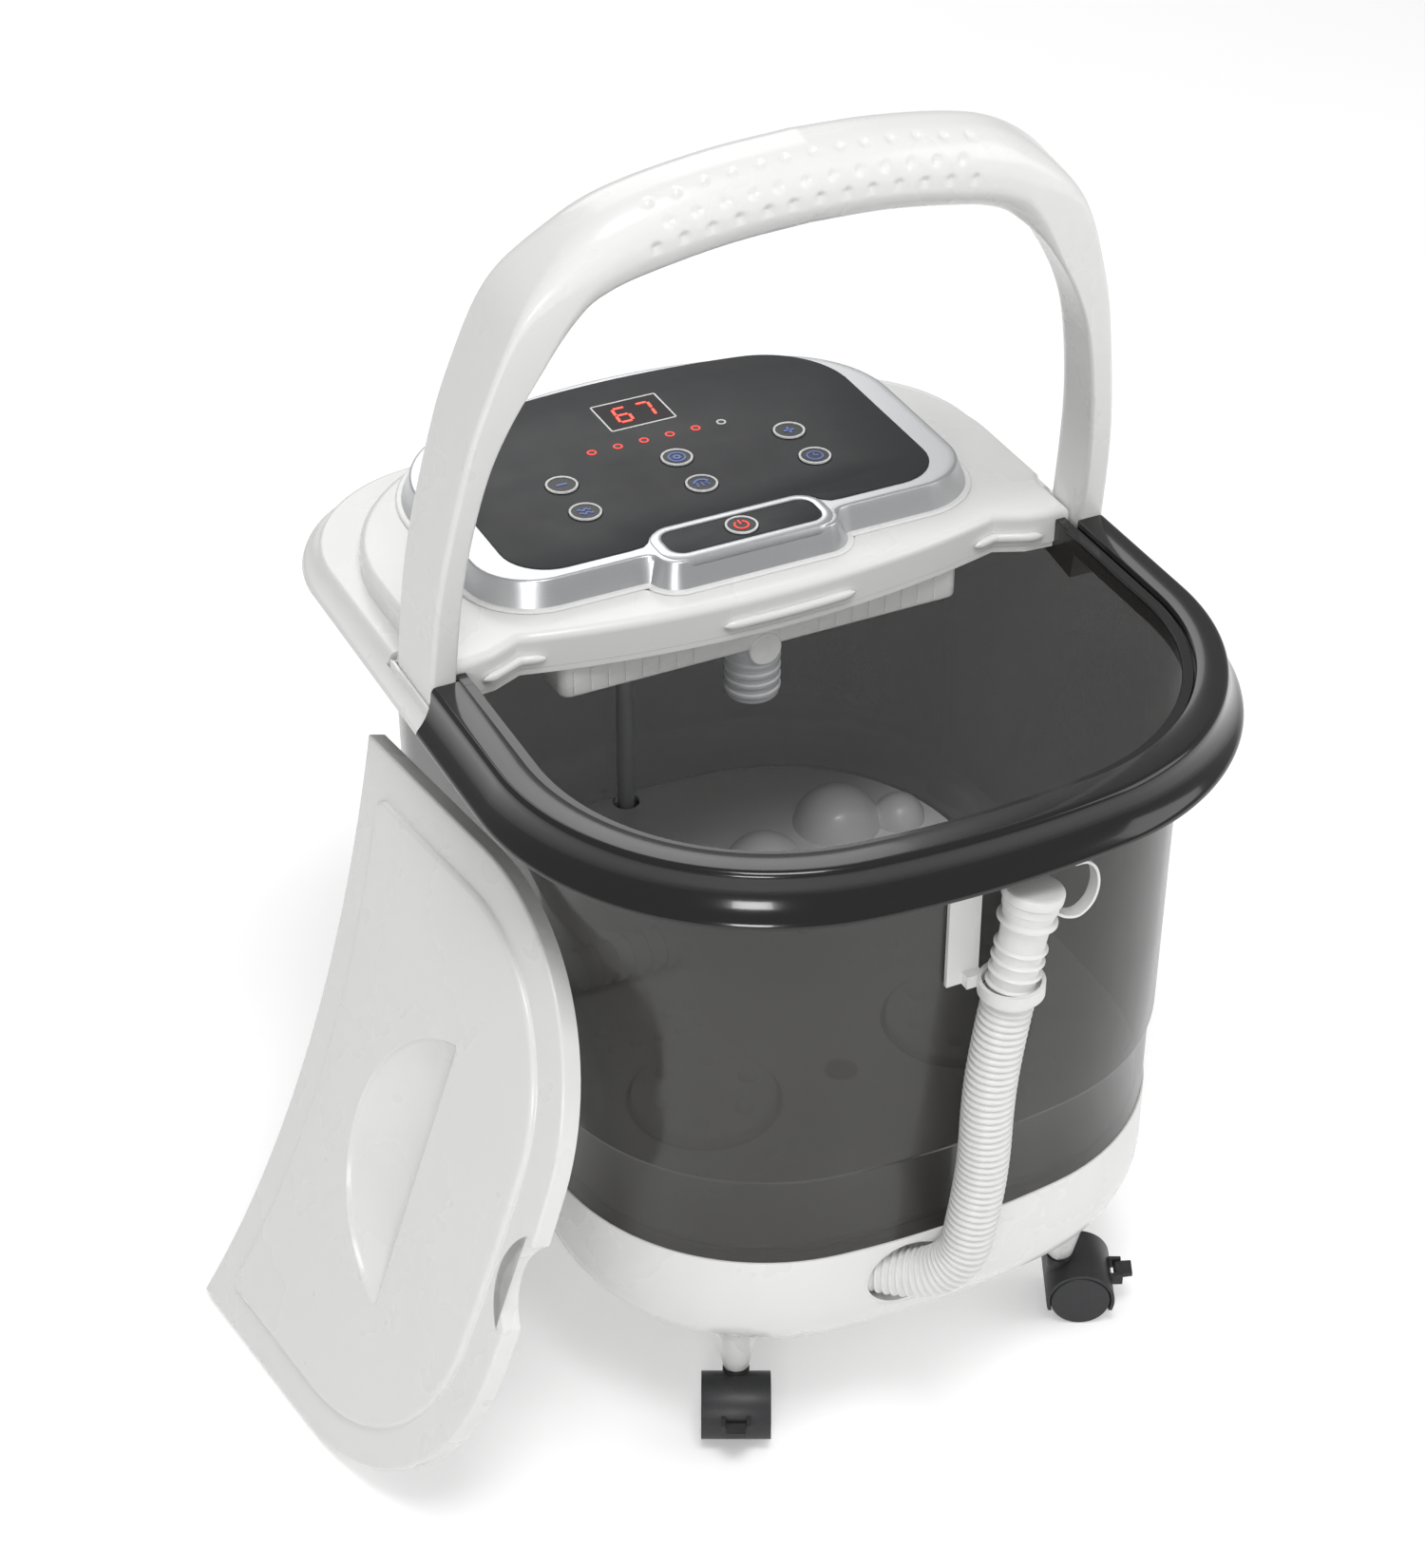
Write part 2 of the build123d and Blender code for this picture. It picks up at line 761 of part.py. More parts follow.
with BuildPart() as power_board:
    board_x = -88.0
    board_y = 60.0
    with BuildSketch(Plane.XY.offset(base_bottom + wall + 5)):
        with Locations((board_x, board_y)):
            Rectangle(44, 80)
    extrude(amount=1.6)
    for offset_x in (-18, 18):
        for offset_y in (-36, 36):
            with BuildSketch(Plane.XY.offset(base_bottom + wall)):
                with Locations((board_x + offset_x, board_y + offset_y)):
                    Circle(2.5)
            extrude(amount=5)
    with BuildSketch(Plane.XY.offset(base_bottom + wall + 6.6)):
        with Locations((board_x, board_y - 14)):
            Rectangle(30, 30)
    extrude(amount=24)
finish(power_board.part, "power_board")

# ================================================================ rim
rim_section_points = (
    (-3.0, 386.0),
    (-3.0, 388.6),
    (2.6, 388.6),
    (2.6, 387.6),
    (3.6, 387.6),
    (3.6, 391.6),
    (4.0, rim_top),
    (16.5, rim_top),
)


def rim_plane(start):
    """The upright plane at the end of the rim's right arm, with x outwards from the wall line."""
    return Plane(origin=(tub_half_width, start, 0), x_dir=(1, 0, 0), z_dir=(0, -1, 0))


with BuildSketch(rim_plane(arm_end)) as rim_section:
    with BuildLine():
        Polyline(*rim_section_points)
        ThreePointArc((16.5, rim_top), (18.6, 391.1), (19.5, 389.0))
        ThreePointArc((19.5, 389.0), (21.9, 378.0), (27.5, 370.0))
        Polyline((27.5, 370.0), (lip_reach, 367.6), (27.6, lip_low), (24.6, 367.2))
        ThreePointArc((24.6, 367.2), (19.2, 377.0), (17.0, 386.5))
        Polyline(
            (17.0, 386.5),
            (16.0, 388.9),
            (6.6, 388.9),
            (6.6, 385.6),
            (3.0, 385.6),
            (3.0, 374.0),
            (0.3, 374.0),
            (0.3, 386.0),
            (-3.0, 386.0),
        )
    make_face()

with BuildPart() as rim:
    with BuildLine():
        rim_path = add(
            end_path(tub_half_width, tub_half_length, tub_corner, tub_straight, arm_end, -1)
        )
    sweep(sections=rim_section.sketch, path=rim_path)
    for side in (-1, 1):
        with BuildSketch(Plane.XZ.offset(-arm_end)):
            with BuildLine():
                Polyline(
                    (side * (tub_half_width - 3.0), 386.0),
                    (side * (tub_half_width - 3.0), 388.6),
                    (side * (tub_half_width + 2.6), 388.6),
                    (side * (tub_half_width + 2.6), 385.6),
                    (side * (tub_half_width + 3.0), 385.6),
                    (side * (tub_half_width + 3.0), 374.0),
                    (side * (tub_half_width + 0.3), 374.0),
                    (side * (tub_half_width + 0.3), 386.0),
                    close=True,
                )
            make_face()
        extrude(amount=arm_end - ledge_end)
finish(rim.part, "rim")

# ================================================================ rear skirt
lean_angle = math.radians(lean)
lean_up = Vector(0, -math.sin(lean_angle), math.cos(lean_angle))
lean_back = Vector(0, math.cos(lean_angle), math.sin(lean_angle))
handle_base = Vector(0, handle_front_y, handle_base_z)


def leg_block(side, grow, low, high):
    """A handle leg's section, grown by a clearance, between two lengths along the lean."""
    section = Plane(
        origin=handle_base + lean_up * low, x_dir=(1, 0, 0), z_dir=tuple(lean_up)
    )
    with BuildPart() as block:
        with BuildSketch(section):
            with BuildLine():
                Polyline(
                    (side * (leg_inner - grow), -grow),
                    (side * (leg_outer + grow), -grow),
                    (side * (leg_outer + grow), leg_depth + grow),
                    (side * (leg_inner - grow), leg_inner_depth + grow),
                    close=True,
                )
            make_face()
        extrude(amount=high - low)
    return block.part


socket_floor = 3.0
socket_wall = 1.6
with BuildSketch(rim_plane(skirt_start)) as skirt_section:
    with BuildLine():
        Polyline((10.0, 377.0), (10.0, skirt_ledge), (16.5, skirt_ledge))
        ThreePointArc((16.5, skirt_ledge), (18.6, 379.3), (19.5, 378.0))
        ThreePointArc((19.5, 378.0), (22.7, 373.2), (27.5, 370.0))
        Polyline((27.5, 370.0), (lip_reach, 367.6), (27.6, lip_low), (24.6, 367.2))
        ThreePointArc((24.6, 367.2), (19.5, 371.0), (15.5, 377.0))
        Line((15.5, 377.0), (10.0, 377.0))
    make_face()

with BuildSketch(Plane.XY.offset(skirt_ledge - skirt_plate)) as skirt_inside:
    with BuildLine():
        add(
            end_path(
                tub_half_width + 12,
                skirt_reach + 12,
                skirt_corner + 12,
                skirt_straight,
                skirt_start,
                1,
            )
        )
        Line((-(tub_half_width + 12), skirt_start), (tub_half_width + 12, skirt_start))
    make_face()

with BuildPart() as rear_skirt:
    with BuildLine():
        skirt_path = add(
            end_path(
                tub_half_width, skirt_reach, skirt_corner, skirt_straight, skirt_start, 1
            )
        )
    sweep(sections=skirt_section.sketch, path=skirt_path)
    extrude(skirt_inside.sketch, amount=skirt_plate)
    add(tub_column(0.3, skirt_ledge - 20, skirt_ledge + 10), mode=Mode.SUBTRACT)
    for side in (-1, 1):
        # the rim's inner ledge ends here, and the handle leg drops into its own pocket
        with BuildSketch(Plane.XY.offset(skirt_ledge - 20)):
            with Locations((side * (tub_half_width + 1.7), (skirt_start + ledge_end) / 2)):
                Rectangle(3.4, ledge_end - skirt_start + 2 * gap)
            with Locations((side * (leg_inner + leg_outer + 2) / 2, 22)):
                Rectangle(leg_outer - leg_inner + 2, 60)
        extrude(amount=40, mode=Mode.SUBTRACT)
        add(
            leg_block(side, gap + socket_wall, -leg_foot - socket_floor, -6)
        )
    with BuildSketch(Plane.XY.offset(skirt_ledge)):
        Rectangle(500, 600)
    extrude(amount=30, mode=Mode.SUBTRACT)
    add(tub_column(0.3, skirt_ledge - 40, skirt_ledge + 10), mode=Mode.SUBTRACT)
    for side in (-1, 1):
        add(leg_block(side, gap, -leg_foot, 10), mode=Mode.SUBTRACT)
        with BuildSketch(Plane.XY.offset(skirt_ledge - 20)):
            with Locations((side * (tub_half_width + 1.7), (skirt_start + ledge_end) / 2)):
                Rectangle(3.4, ledge_end - skirt_start + 2 * gap)
        extrude(amount=40, mode=Mode.SUBTRACT)
finish(rear_skirt.part, "rear_skirt")


# ================================================================ rear cover
def cover_face(height):
    """The rear cover's outline: a bowed front, a waist beside the handle and a round rear."""
    middle, end = cap_points(cover_half_width, cover_rear, cover_corner, cover_corner_y)
    with BuildSketch(Plane.XY.offset(height)) as face:
        with BuildLine():
            ThreePointArc((-fascia_half, fascia_sag), (0, 0), (fascia_half, fascia_sag))
            ThreePointArc(end, (0, cover_rear), (-end[0], end[1]))
            for side in (-1, 1):
                Polyline(
                    (side * fascia_half, fascia_sag),
                    (side * wing_x, wing_y),
                    (side * cover_waist, wing_end_y),
                    (side * cover_waist, shoulder_y),
                    (side * cover_half_width, shoulder_end_y),
                    (side * cover_half_width, cover_corner_y),
                )
                ThreePointArc(
                    (side * cover_half_width, cover_corner_y),
                    (side * middle[0], middle[1]),
                    (side * end[0], end[1]),
                )
        make_face()
    return face.sketch


with BuildSketch(Plane.XY.offset(cover_low - 1)) as cover_space:
    add(cover_face(cover_low - 1))
    offset(amount=-wall, kind=Kind.INTERSECTION)

clip_bars = ((-157.0, -121.0), (-30.0, 45.0), (121.0, 159.0))
clip_proud = 3.5
clip_low = 378.5
clip_high = 383.5
with BuildSketch(Plane.XY.offset(clip_low)) as clip_zone:
    add(cover_face(clip_low))
    offset(amount=clip_proud, kind=Kind.INTERSECTION)
    with Locations((0, 300)):
        Rectangle(600, 550, mode=Mode.SUBTRACT)

standoff_spots = ((-80.0, 80.0), (80.0, 80.0), (-80.0, 160.0), (80.0, 160.0))
with BuildPart() as rear_cover:
    extrude(cover_face(cover_low), amount=cover_top - cover_low)
    round_edges = rear_cover.edges().group_by(Axis.Z)[-1].filter_by(
        lambda edge: edge.center().Y > shoulder_end_y
    )
    fillet(round_edges, radius=cover_round)
    for low_x, high_x in clip_bars:
        with BuildPart(mode=Mode.PRIVATE) as bar:
            extrude(clip_zone.sketch, amount=clip_high - clip_low)
            with Locations(((low_x + high_x) / 2, 0, clip_low)):
                Box(high_x - low_x, 80, 20, mode=Mode.INTERSECT)
        add(bar.part)
    extrude(cover_space.sketch, amount=cover_top - wall - cover_low + 1, mode=Mode.SUBTRACT)
    with BuildPart(mode=Mode.PRIVATE) as below_ledge:
        with BuildSketch(Plane.XY.offset(cover_low - 5)):
            Rectangle(600, 700)
        extrude(amount=skirt_ledge - cover_low + 5)
        add(tub_column(-wall - gap, cover_low - 10, skirt_ledge + 5), mode=Mode.SUBTRACT)
    add(below_ledge.part, mode=Mode.SUBTRACT)
    with BuildPart(mode=Mode.PRIVATE) as wall_ring:
        add(tub_column(0.3, cover_low - 10, tub_top + 0.3))
        add(tub_column(-wall - gap, cover_low - 10, tub_top + 5), mode=Mode.SUBTRACT)
    add(wall_ring.part, mode=Mode.SUBTRACT)
    for spot in standoff_spots:
        with BuildSketch(Plane.XY.offset(cover_top - 1)):
            with Locations(spot):
                Circle(3)
        extrude(amount=board_bottom - cover_top + 1)
finish(rear_cover.part, "rear_cover")

with BuildPart() as cover_base:
    extrude(cover_face(cover_low - base_plate_thickness), amount=base_plate_thickness)
    add(tub_column(-wall - gap, cover_low - 10, cover_low + 5), mode=Mode.INTERSECT)
finish(cover_base.part, "cover_base")


# ================================================================ control panel
def bezel_face(grow, height):
    """The bezel's outline: rounded rear, straight sides and a small pod at the front."""
    half_width = bezel_half_width + grow
    middle, end = cap_points(half_width, 215 + grow / 2, 62 + grow, 140)
    corner = 32.0
    centre_x = half_width - corner
    front = 38 - grow
    slant = corner * math.sin(math.pi / 4)
    pod = pod_half_width + grow
    pod_corner = 10.0
    pod_slant = pod_corner * math.sin(math.pi / 4)
    pod_y = pod_front - grow
    with BuildSketch(Plane.XY.offset(height)) as face:
        with BuildLine():
            ThreePointArc(end, (0, 215 + grow / 2), (-end[0], end[1]))
            Line((pod - pod_corner, pod_y), (pod_corner - pod, pod_y))
            for side in (-1, 1):
                ThreePointArc(
                    (side * half_width, 140),
                    (side * middle[0], middle[1]),
                    (side * end[0], end[1]),
                )
                Line((side * half_width, 140), (side * half_width, front + corner))
                ThreePointArc(
                    (side * half_width, front + corner),
                    (side * (centre_x + slant), front + corner - slant),
                    (side * centre_x, front),
                )
                Polyline(
                    (side * centre_x, front), (side * pod, front), (side * pod, pod_y + pod_corner)
                )
                ThreePointArc(
                    (side * pod, pod_y + pod_corner),
                    (side * (pod - pod_corner + pod_slant), pod_y + pod_corner - pod_slant),
                    (side * (pod - pod_corner), pod_y),
                )
        make_face()
    return face.sketch


panel_reach = 211.0
panel_corner = 50.0
panel_straight = 155.0
panel_front = 44.0
panel_front_corner = 26.0
panel_notch = 56.0
pod_inset = 7.0


def panel_face(grow, height):
    """The black panel's outline, notched at the front round the pod."""
    half_width = panel_half_width + grow
    middle, end = cap_points(
        half_width, panel_reach + grow, panel_corner + grow, panel_straight
    )
    corner = panel_front_corner + grow
    centre_x = half_width - corner
    centre_y = panel_front + panel_front_corner
    slant = corner * math.sin(math.pi / 4)
    with BuildSketch(Plane.XY.offset(height)) as face:
        with BuildLine():
            ThreePointArc(end, (0, panel_reach + grow), (-end[0], end[1]))
            Line((pod_half_width - 8, panel_notch - grow), (8 - pod_half_width, panel_notch - grow))
            for side in (-1, 1):
                ThreePointArc(
                    (side * half_width, panel_straight),
                    (side * middle[0], middle[1]),
                    (side * end[0], end[1]),
                )
                Line((side * half_width, panel_straight), (side * half_width, centre_y))
                ThreePointArc(
                    (side * half_width, centre_y),
                    (side * (centre_x + slant), centre_y - slant),
                    (side * centre_x, centre_y - corner),
                )
                Polyline(
                    (side * centre_x, centre_y - corner),
                    (side * (pod_half_width + 2), centre_y - corner),
                    (side * (pod_half_width - 8), panel_notch - grow),
                )
        make_face()
    return face.sketch


def pod_face(grow, height):
    """The small black inset round the power key."""
    depth = pod_back - 2 - pod_front - 5
    with BuildSketch(Plane.XY.offset(height)) as face:
        with Locations((0, pod_front + 5 + depth / 2)):
            RectangleRounded(
                2 * (pod_half_width - pod_inset + grow), depth + 2 * grow, 8 + grow
            )
    return face.sketch


ledge_z = panel_top - panel_plate
panel_fit = 0.2
with BuildPart() as panel_bezel:
    loft([bezel_face(bezel_slope, cover_top), bezel_face(0, panel_top)], ruled=True)
    extrude(bezel_face(bezel_slope + 3, cover_top), amount=1.5)
    extrude(panel_face(0, ledge_z), amount=panel_plate + 1, mode=Mode.SUBTRACT)
    extrude(panel_face(-4, cover_top - 1), amount=20, mode=Mode.SUBTRACT)
    extrude(pod_face(0, ledge_z), amount=panel_plate + 1, mode=Mode.SUBTRACT)
    extrude(pod_face(-1, cover_top - 1), amount=20, mode=Mode.SUBTRACT)
    with BuildSketch(Plane.XY.offset(cover_top - 1)):
        with Locations((0, pod_back)):
            Rectangle(27, 20)
    extrude(amount=8, mode=Mode.SUBTRACT)
finish(panel_bezel.part, "panel_bezel")

panel_keys = {
    "key_temp_down": (-key_column, key_row_back),
    "key_red_light": (0.0, key_row_back),
    "key_temp_up": (key_column, key_row_back),
    "key_massage": (-key_column, key_row_front),
    "key_shower": (0.0, key_row_front),
    "key_timer": (key_column, key_row_front),
}
power_spot = (0.0, power_y)
lamp_spots = [(lamp_pitch * (step - 2.5), lamp_y) for step in range(6)]

with BuildPart() as control_panel:
    extrude(panel_face(-panel_fit, ledge_z), amount=panel_plate)
    with BuildSketch(Plane.XY.offset(ledge_z)):
        with Locations(*panel_keys.values()):
            Circle(key_radius + key_gap)
        with Locations(*lamp_spots):
            Circle(lamp_radius)
        with Locations((0, display_y)):
            Rectangle(display_width + 2 * panel_fit, display_depth + 2 * panel_fit)
    extrude(amount=panel_plate, mode=Mode.SUBTRACT)
finish(control_panel.part, "control_panel")

with BuildPart() as pod_plate:
    extrude(pod_face(-panel_fit, ledge_z), amount=panel_plate)
    with BuildSketch(Plane.XY.offset(ledge_z)):
        with Locations(power_spot):
            Circle(key_radius + key_gap)
    extrude(amount=panel_plate, mode=Mode.SUBTRACT)
finish(pod_plate.part, "pod_plate")

key_flange = 0.9
key_proud = 1.0
for name, spot in {**panel_keys, "key_power": power_spot}.items():
    with BuildPart() as key:
        with BuildSketch(Plane.XY.offset(key_bottom)):
            with Locations(spot):
                Circle(key_radius)
        extrude(amount=panel_top + key_proud - key_bottom)
        fillet(key.edges().group_by(Axis.Z)[-1], radius=0.6)
        with BuildSketch(Plane.XY.offset(ledge_z - 2.1)):
            with Locations(spot):
                Circle(key_radius + key_flange)
        extrude(amount=2)
    finish(key.part, name)

window_low = panel_top - 2.0
with BuildPart() as circuit_board:
    with BuildSketch(Plane.XY.offset(board_bottom)):
        with Locations((0, 125)):
            Rectangle(190, 126)
        with Locations((0, 50)):
            Rectangle(24, 34)
    extrude(amount=board_top - board_bottom)
    with BuildSketch(Plane.XY.offset(board_top)):
        with Locations(*panel_keys.values(), power_spot):
            Rectangle(6, 6)
    extrude(amount=switch_top - board_top)
    with BuildSketch(Plane.XY.offset(board_top)):
        with Locations((0, display_y)):
            Rectangle(display_width - 1, display_depth - 1)
    extrude(amount=window_low - board_top)
finish(circuit_board.part, "circuit_board")

with BuildPart() as status_lights:
    with BuildSketch(Plane.XY.offset(board_top)):
        with Locations(*lamp_spots):
            Circle(lamp_radius)
    extrude(amount=panel_top + 0.3 - board_top)
finish(status_lights.part, "status_lights")

with BuildPart() as display_window:
    with BuildSketch(Plane.XY.offset(window_low)):
        with Locations((0, display_y)):
            Rectangle(display_width, display_depth)
    extrude(amount=panel_top - window_low)
finish(display_window.part, "display_window")

# ================================================================ shower
bar_low = bar_top - bar_height
bar_middle = (bar_front + bar_back) / 2
nozzle_start = 28.0
nozzle_end = 110.0
nozzle_thickness = 1.5
with BuildPart() as shower_bar:
    with BuildSketch(Plane.XY.offset(bar_low)):
        with Locations((0, bar_middle)):
            RectangleRounded(2 * bar_half_width, bar_back - bar_front, 4)
    extrude(amount=bar_height)
    with BuildSketch(Plane.XY.offset(bar_low + 2)):
        with Locations((0, bar_middle)):
            RectangleRounded(2 * bar_half_width - 4, bar_back - bar_front - 4, 2)
    extrude(amount=bar_height - 4, mode=Mode.SUBTRACT)
    with BuildSketch(Plane.XY.offset(bar_low)):
        for side in (-1, 1):
            with Locations((side * (nozzle_start + nozzle_end) / 2, bar_middle)):
                Rectangle(nozzle_end - nozzle_start - 6, 14)
        with Locations((0, bar_middle)):
            Circle(cup_radius - 4)
    extrude(amount=2, mode=Mode.SUBTRACT)
    with BuildSketch(Plane.XZ.offset(-bar_back)):
        with Locations((0, bar_low + bar_height / 2)):
            Circle(pipe_radius - pipe_wall)
    extrude(amount=3, mode=Mode.SUBTRACT)
finish(shower_bar.part, "shower_bar")

with BuildPart() as nozzle_plates:
    for side in (-1, 1):
        with BuildSketch(Plane.XY.offset(bar_low)):
            with Locations((side * (nozzle_start + nozzle_end) / 2, bar_middle)):
                RectangleRounded(nozzle_end - nozzle_start, 20, 3)
                with GridLocations(7.5, 5, 10, 3):
                    Circle(0.9, mode=Mode.SUBTRACT)
        extrude(amount=-nozzle_thickness)
finish(nozzle_plates.part, "nozzle_plates")

with BuildPart() as filter_cup:
    with BuildSketch(Plane.XY.offset(bar_low)):
        with Locations((0, bar_middle)):
            Circle(cup_radius - 1)
    extrude(amount=-cup_height)
    for ring in range(5):
        with BuildSketch(Plane.XY.offset(bar_low - 4 - 6 * ring)):
            with Locations((0, bar_middle)):
                Circle(cup_radius)
        extrude(amount=-2.4)
    with BuildSketch(Plane.XY.offset(bar_low)):
        with Locations((0, bar_middle)):
            Circle(cup_radius - 3)
    extrude(amount=2 - cup_height, mode=Mode.SUBTRACT)
finish(filter_cup.part, "filter_cup")

sensor_y = -38.0
sensor_z = 322.0
sensor_radius = 8.0
with BuildPart() as water_sensor:
    sensor_wall = tub_half_width - wall + step_grow * (tub_top - sensor_z) / (tub_top - step_high)
    with BuildSketch(Plane.YZ.offset(-sensor_wall + 0.1)):
        with Locations((sensor_y, sensor_z)):
            Circle(sensor_radius)
    extrude(amount=3)
    with BuildSketch(Plane.YZ.offset(-sensor_wall + 3)):
        with Locations((sensor_y, sensor_z)):
            Circle(sensor_radius - 2.5)
    extrude(amount=3)
finish(water_sensor.part, "water_sensor")

# ================================================================ handle
front_plane = Plane(
    origin=tuple(handle_base), x_dir=(1, 0, 0), z_dir=tuple(lean_back * -1)
)
inner_side = ((170.8, 64.7), (162.0, 114.0), (137.0, 170.0), (103.0, 205.0), (60.0, 223.0))
inner_top = 228.0
outer_side = ((184.5, 57.0), (171.5, 126.0), (146.5, 203.0), (123.0, 228.5), (97.5, 244.7))
grip_rise = 234.3
grip_drop = 14.8


def opening_face(scale_x, scale_y, depth):
    """The hoop's opening on a plane behind the front one, widened about its foot."""
    points = [(x * scale_x, y * scale_y) for x, y in inner_side]
    foot = leg_inner * scale_x
    curve = [(foot, 0), *points, (0, inner_top * scale_y)]
    curve += [(-x, y) for x, y in reversed(points)] + [(-foot, 0)]
    with BuildSketch(front_plane.offset(-depth)) as face:
        with BuildLine():
            Spline(*curve, tangents=[(0, 1), (0, -1)])
            Polyline((-foot, 0), (-foot, -leg_foot - 20), (foot, -leg_foot - 20), (foot, 0))
        make_face()
    return face.sketch


with BuildSketch(front_plane) as hoop_face:
    with BuildLine():
        for side in (-1, 1):
            curve = [(side * leg_outer, 0)] + [(side * x, y) for x, y in outer_side]
            Spline(*curve, tangents=[(0, 1), (-side * 0.9, 0.4)])
            Line((side * leg_outer, 0), (side * leg_outer, -leg_foot))
        Line((-leg_outer, -leg_foot), (leg_outer, -leg_foot))
        Line((-outer_side[-1][0], outer_side[-1][1]), outer_side[-1])
    make_face()

past = 0.5
slant = (leg_outer - leg_inner) / (leg_depth - leg_inner_depth)
slant_run = slant * (leg_depth + past - leg_inner_depth)
widen = 1 + slant_run / leg_inner
raised = 1 + slant_run / inner_top
with BuildPart() as hoop:
    extrude(hoop_face.sketch, amount=-leg_depth)
    extrude(opening_face(1, 1, -1), amount=-leg_depth - 2, mode=Mode.SUBTRACT)
    with BuildPart(mode=Mode.PRIVATE) as slant_cut:
        loft(
            [
                opening_face(1, 1, leg_inner_depth),
                opening_face(widen, raised, leg_depth + past),
            ],
            ruled=True,
        )
    add(slant_cut.part, mode=Mode.SUBTRACT)
    with BuildSketch(front_plane.offset(1)):
        with Locations((0, 220)):
            Rectangle(2 * grip_half, 120)
    extrude(amount=-leg_depth - 2, mode=Mode.SUBTRACT)
    grip_plane = front_plane.offset(-grip_deep / 2)
    with BuildLine(grip_plane):
        grip_path = ThreePointArc(
            (-grip_half, grip_rise - grip_drop), (0, grip_rise), (grip_half, grip_rise - grip_drop)
        )
    with BuildSketch(Plane(origin=grip_path @ 0, x_dir=tuple(lean_back), z_dir=grip_path % 0)):
        RectangleRounded(grip_deep, grip_thick, grip_round)
    sweep(path=grip_path)

for name, keep in (("handle_front", Keep.TOP), ("handle_back", Keep.BOTTOM)):
    with BuildPart() as half:
        add(hoop.part)
        split(bisect_by=front_plane.offset(-handle_split), keep=keep)
    finish(half.part, name)

# ================================================================ drain hose
route = [Vector(*point) for point in hose_points]
runs = [(end - start).length for start, end in zip(route, route[1:])]
headings = [(end - start).normalized() for start, end in zip(route, route[1:])]
turns = [first.get_angle(second) for first, second in zip(headings, headings[1:])]
hose_radii = [
    0.45 * min(before, after) / math.tan(math.radians(turn) / 2)
    for before, after, turn in zip(runs, runs[1:], turns)
]
with BuildPart() as drain_hose:
    with BuildLine():
        hose_path = FilletPolyline(*hose_points, radius=hose_radii)
    with BuildSketch(Plane(origin=route[0], z_dir=headings[0])):
        Circle(hose_radius)
        Circle(hose_bore, mode=Mode.SUBTRACT)
    sweep(path=hose_path)
finish(drain_hose.part, "drain_hose")

cuff_axis = headings[-1]
cuff_flange = 3.5
cuff_smooth = 42.0
cuff_first_ring = 2.5
cuff_ring_height = 2.6


def across_cuff(along):
    """The plane square to the cuff at a distance from its lower end."""
    return Plane(origin=route[-1] + cuff_axis * along, z_dir=cuff_axis)


with BuildPart() as hose_cuff:
    with BuildSketch(across_cuff(0)):
        Circle(cuff_core_radius)
    extrude(amount=cuff_smooth)
    for ring in range(cuff_rings):
        with BuildSketch(across_cuff(cuff_first_ring + cuff_ring_pitch * ring)):
            Circle(cuff_ring_radius)
        extrude(amount=cuff_ring_height)
    with BuildSketch(across_cuff(cuff_smooth)):
        Circle(cuff_core_radius)
    with BuildSketch(across_cuff(cuff_length - cuff_flange)):
        Circle(cuff_ring_radius)
    loft()
    with BuildSketch(across_cuff(cuff_length - cuff_flange)):
        Circle(cap_radius - 0.5)
    extrude(amount=cuff_flange)
    with BuildSketch(across_cuff(0)):
        Circle(hose_bore)
    extrude(amount=cuff_length, mode=Mode.SUBTRACT)
finish(hose_cuff.part, "hose_cuff")

plug_gap = 0.08
with BuildPart() as hose_cap:
    with BuildSketch(across_cuff(cuff_length)):
        Circle(cap_radius)
    extrude(amount=cap_height)
    fillet(hose_cap.edges().sort_by(Axis.Z)[-1], radius=1.5)
    with BuildSketch(across_cuff(cuff_length)):
        Circle(hose_bore - plug_gap)
    extrude(amount=-plug_depth)
finish(hose_cap.part, "hose_cap")

strap_width = 7.0
strap_thickness = 1.4
flange_middle = route[-1] + cuff_axis * (cuff_length - cuff_flange / 2)
strap_start = flange_middle + Vector(cap_radius - 0.3, 0, -2.2)
strap_points = [
    (strap_start.X, strap_start.Y, strap_start.Z),
    (strap_start.X + 10, strap_start.Y, strap_start.Z - 7),
    (strap_start.X + 18, strap_start.Y, strap_start.Z + 1),
    (strap_start.X + 17, strap_start.Y, strap_start.Z + 13),
    (strap_start.X + 9, strap_start.Y, strap_start.Z + 17),
]
with BuildPart() as cap_strap:
    with BuildLine():
        strap_path = FilletPolyline(*strap_points, radius=4)
    with BuildSketch(Plane(origin=strap_path @ 0, x_dir=(0, 1, 0), z_dir=strap_path % 0)):
        Rectangle(strap_width, strap_thickness)
    sweep(path=strap_path)
finish(cap_strap.part, "cap_strap")

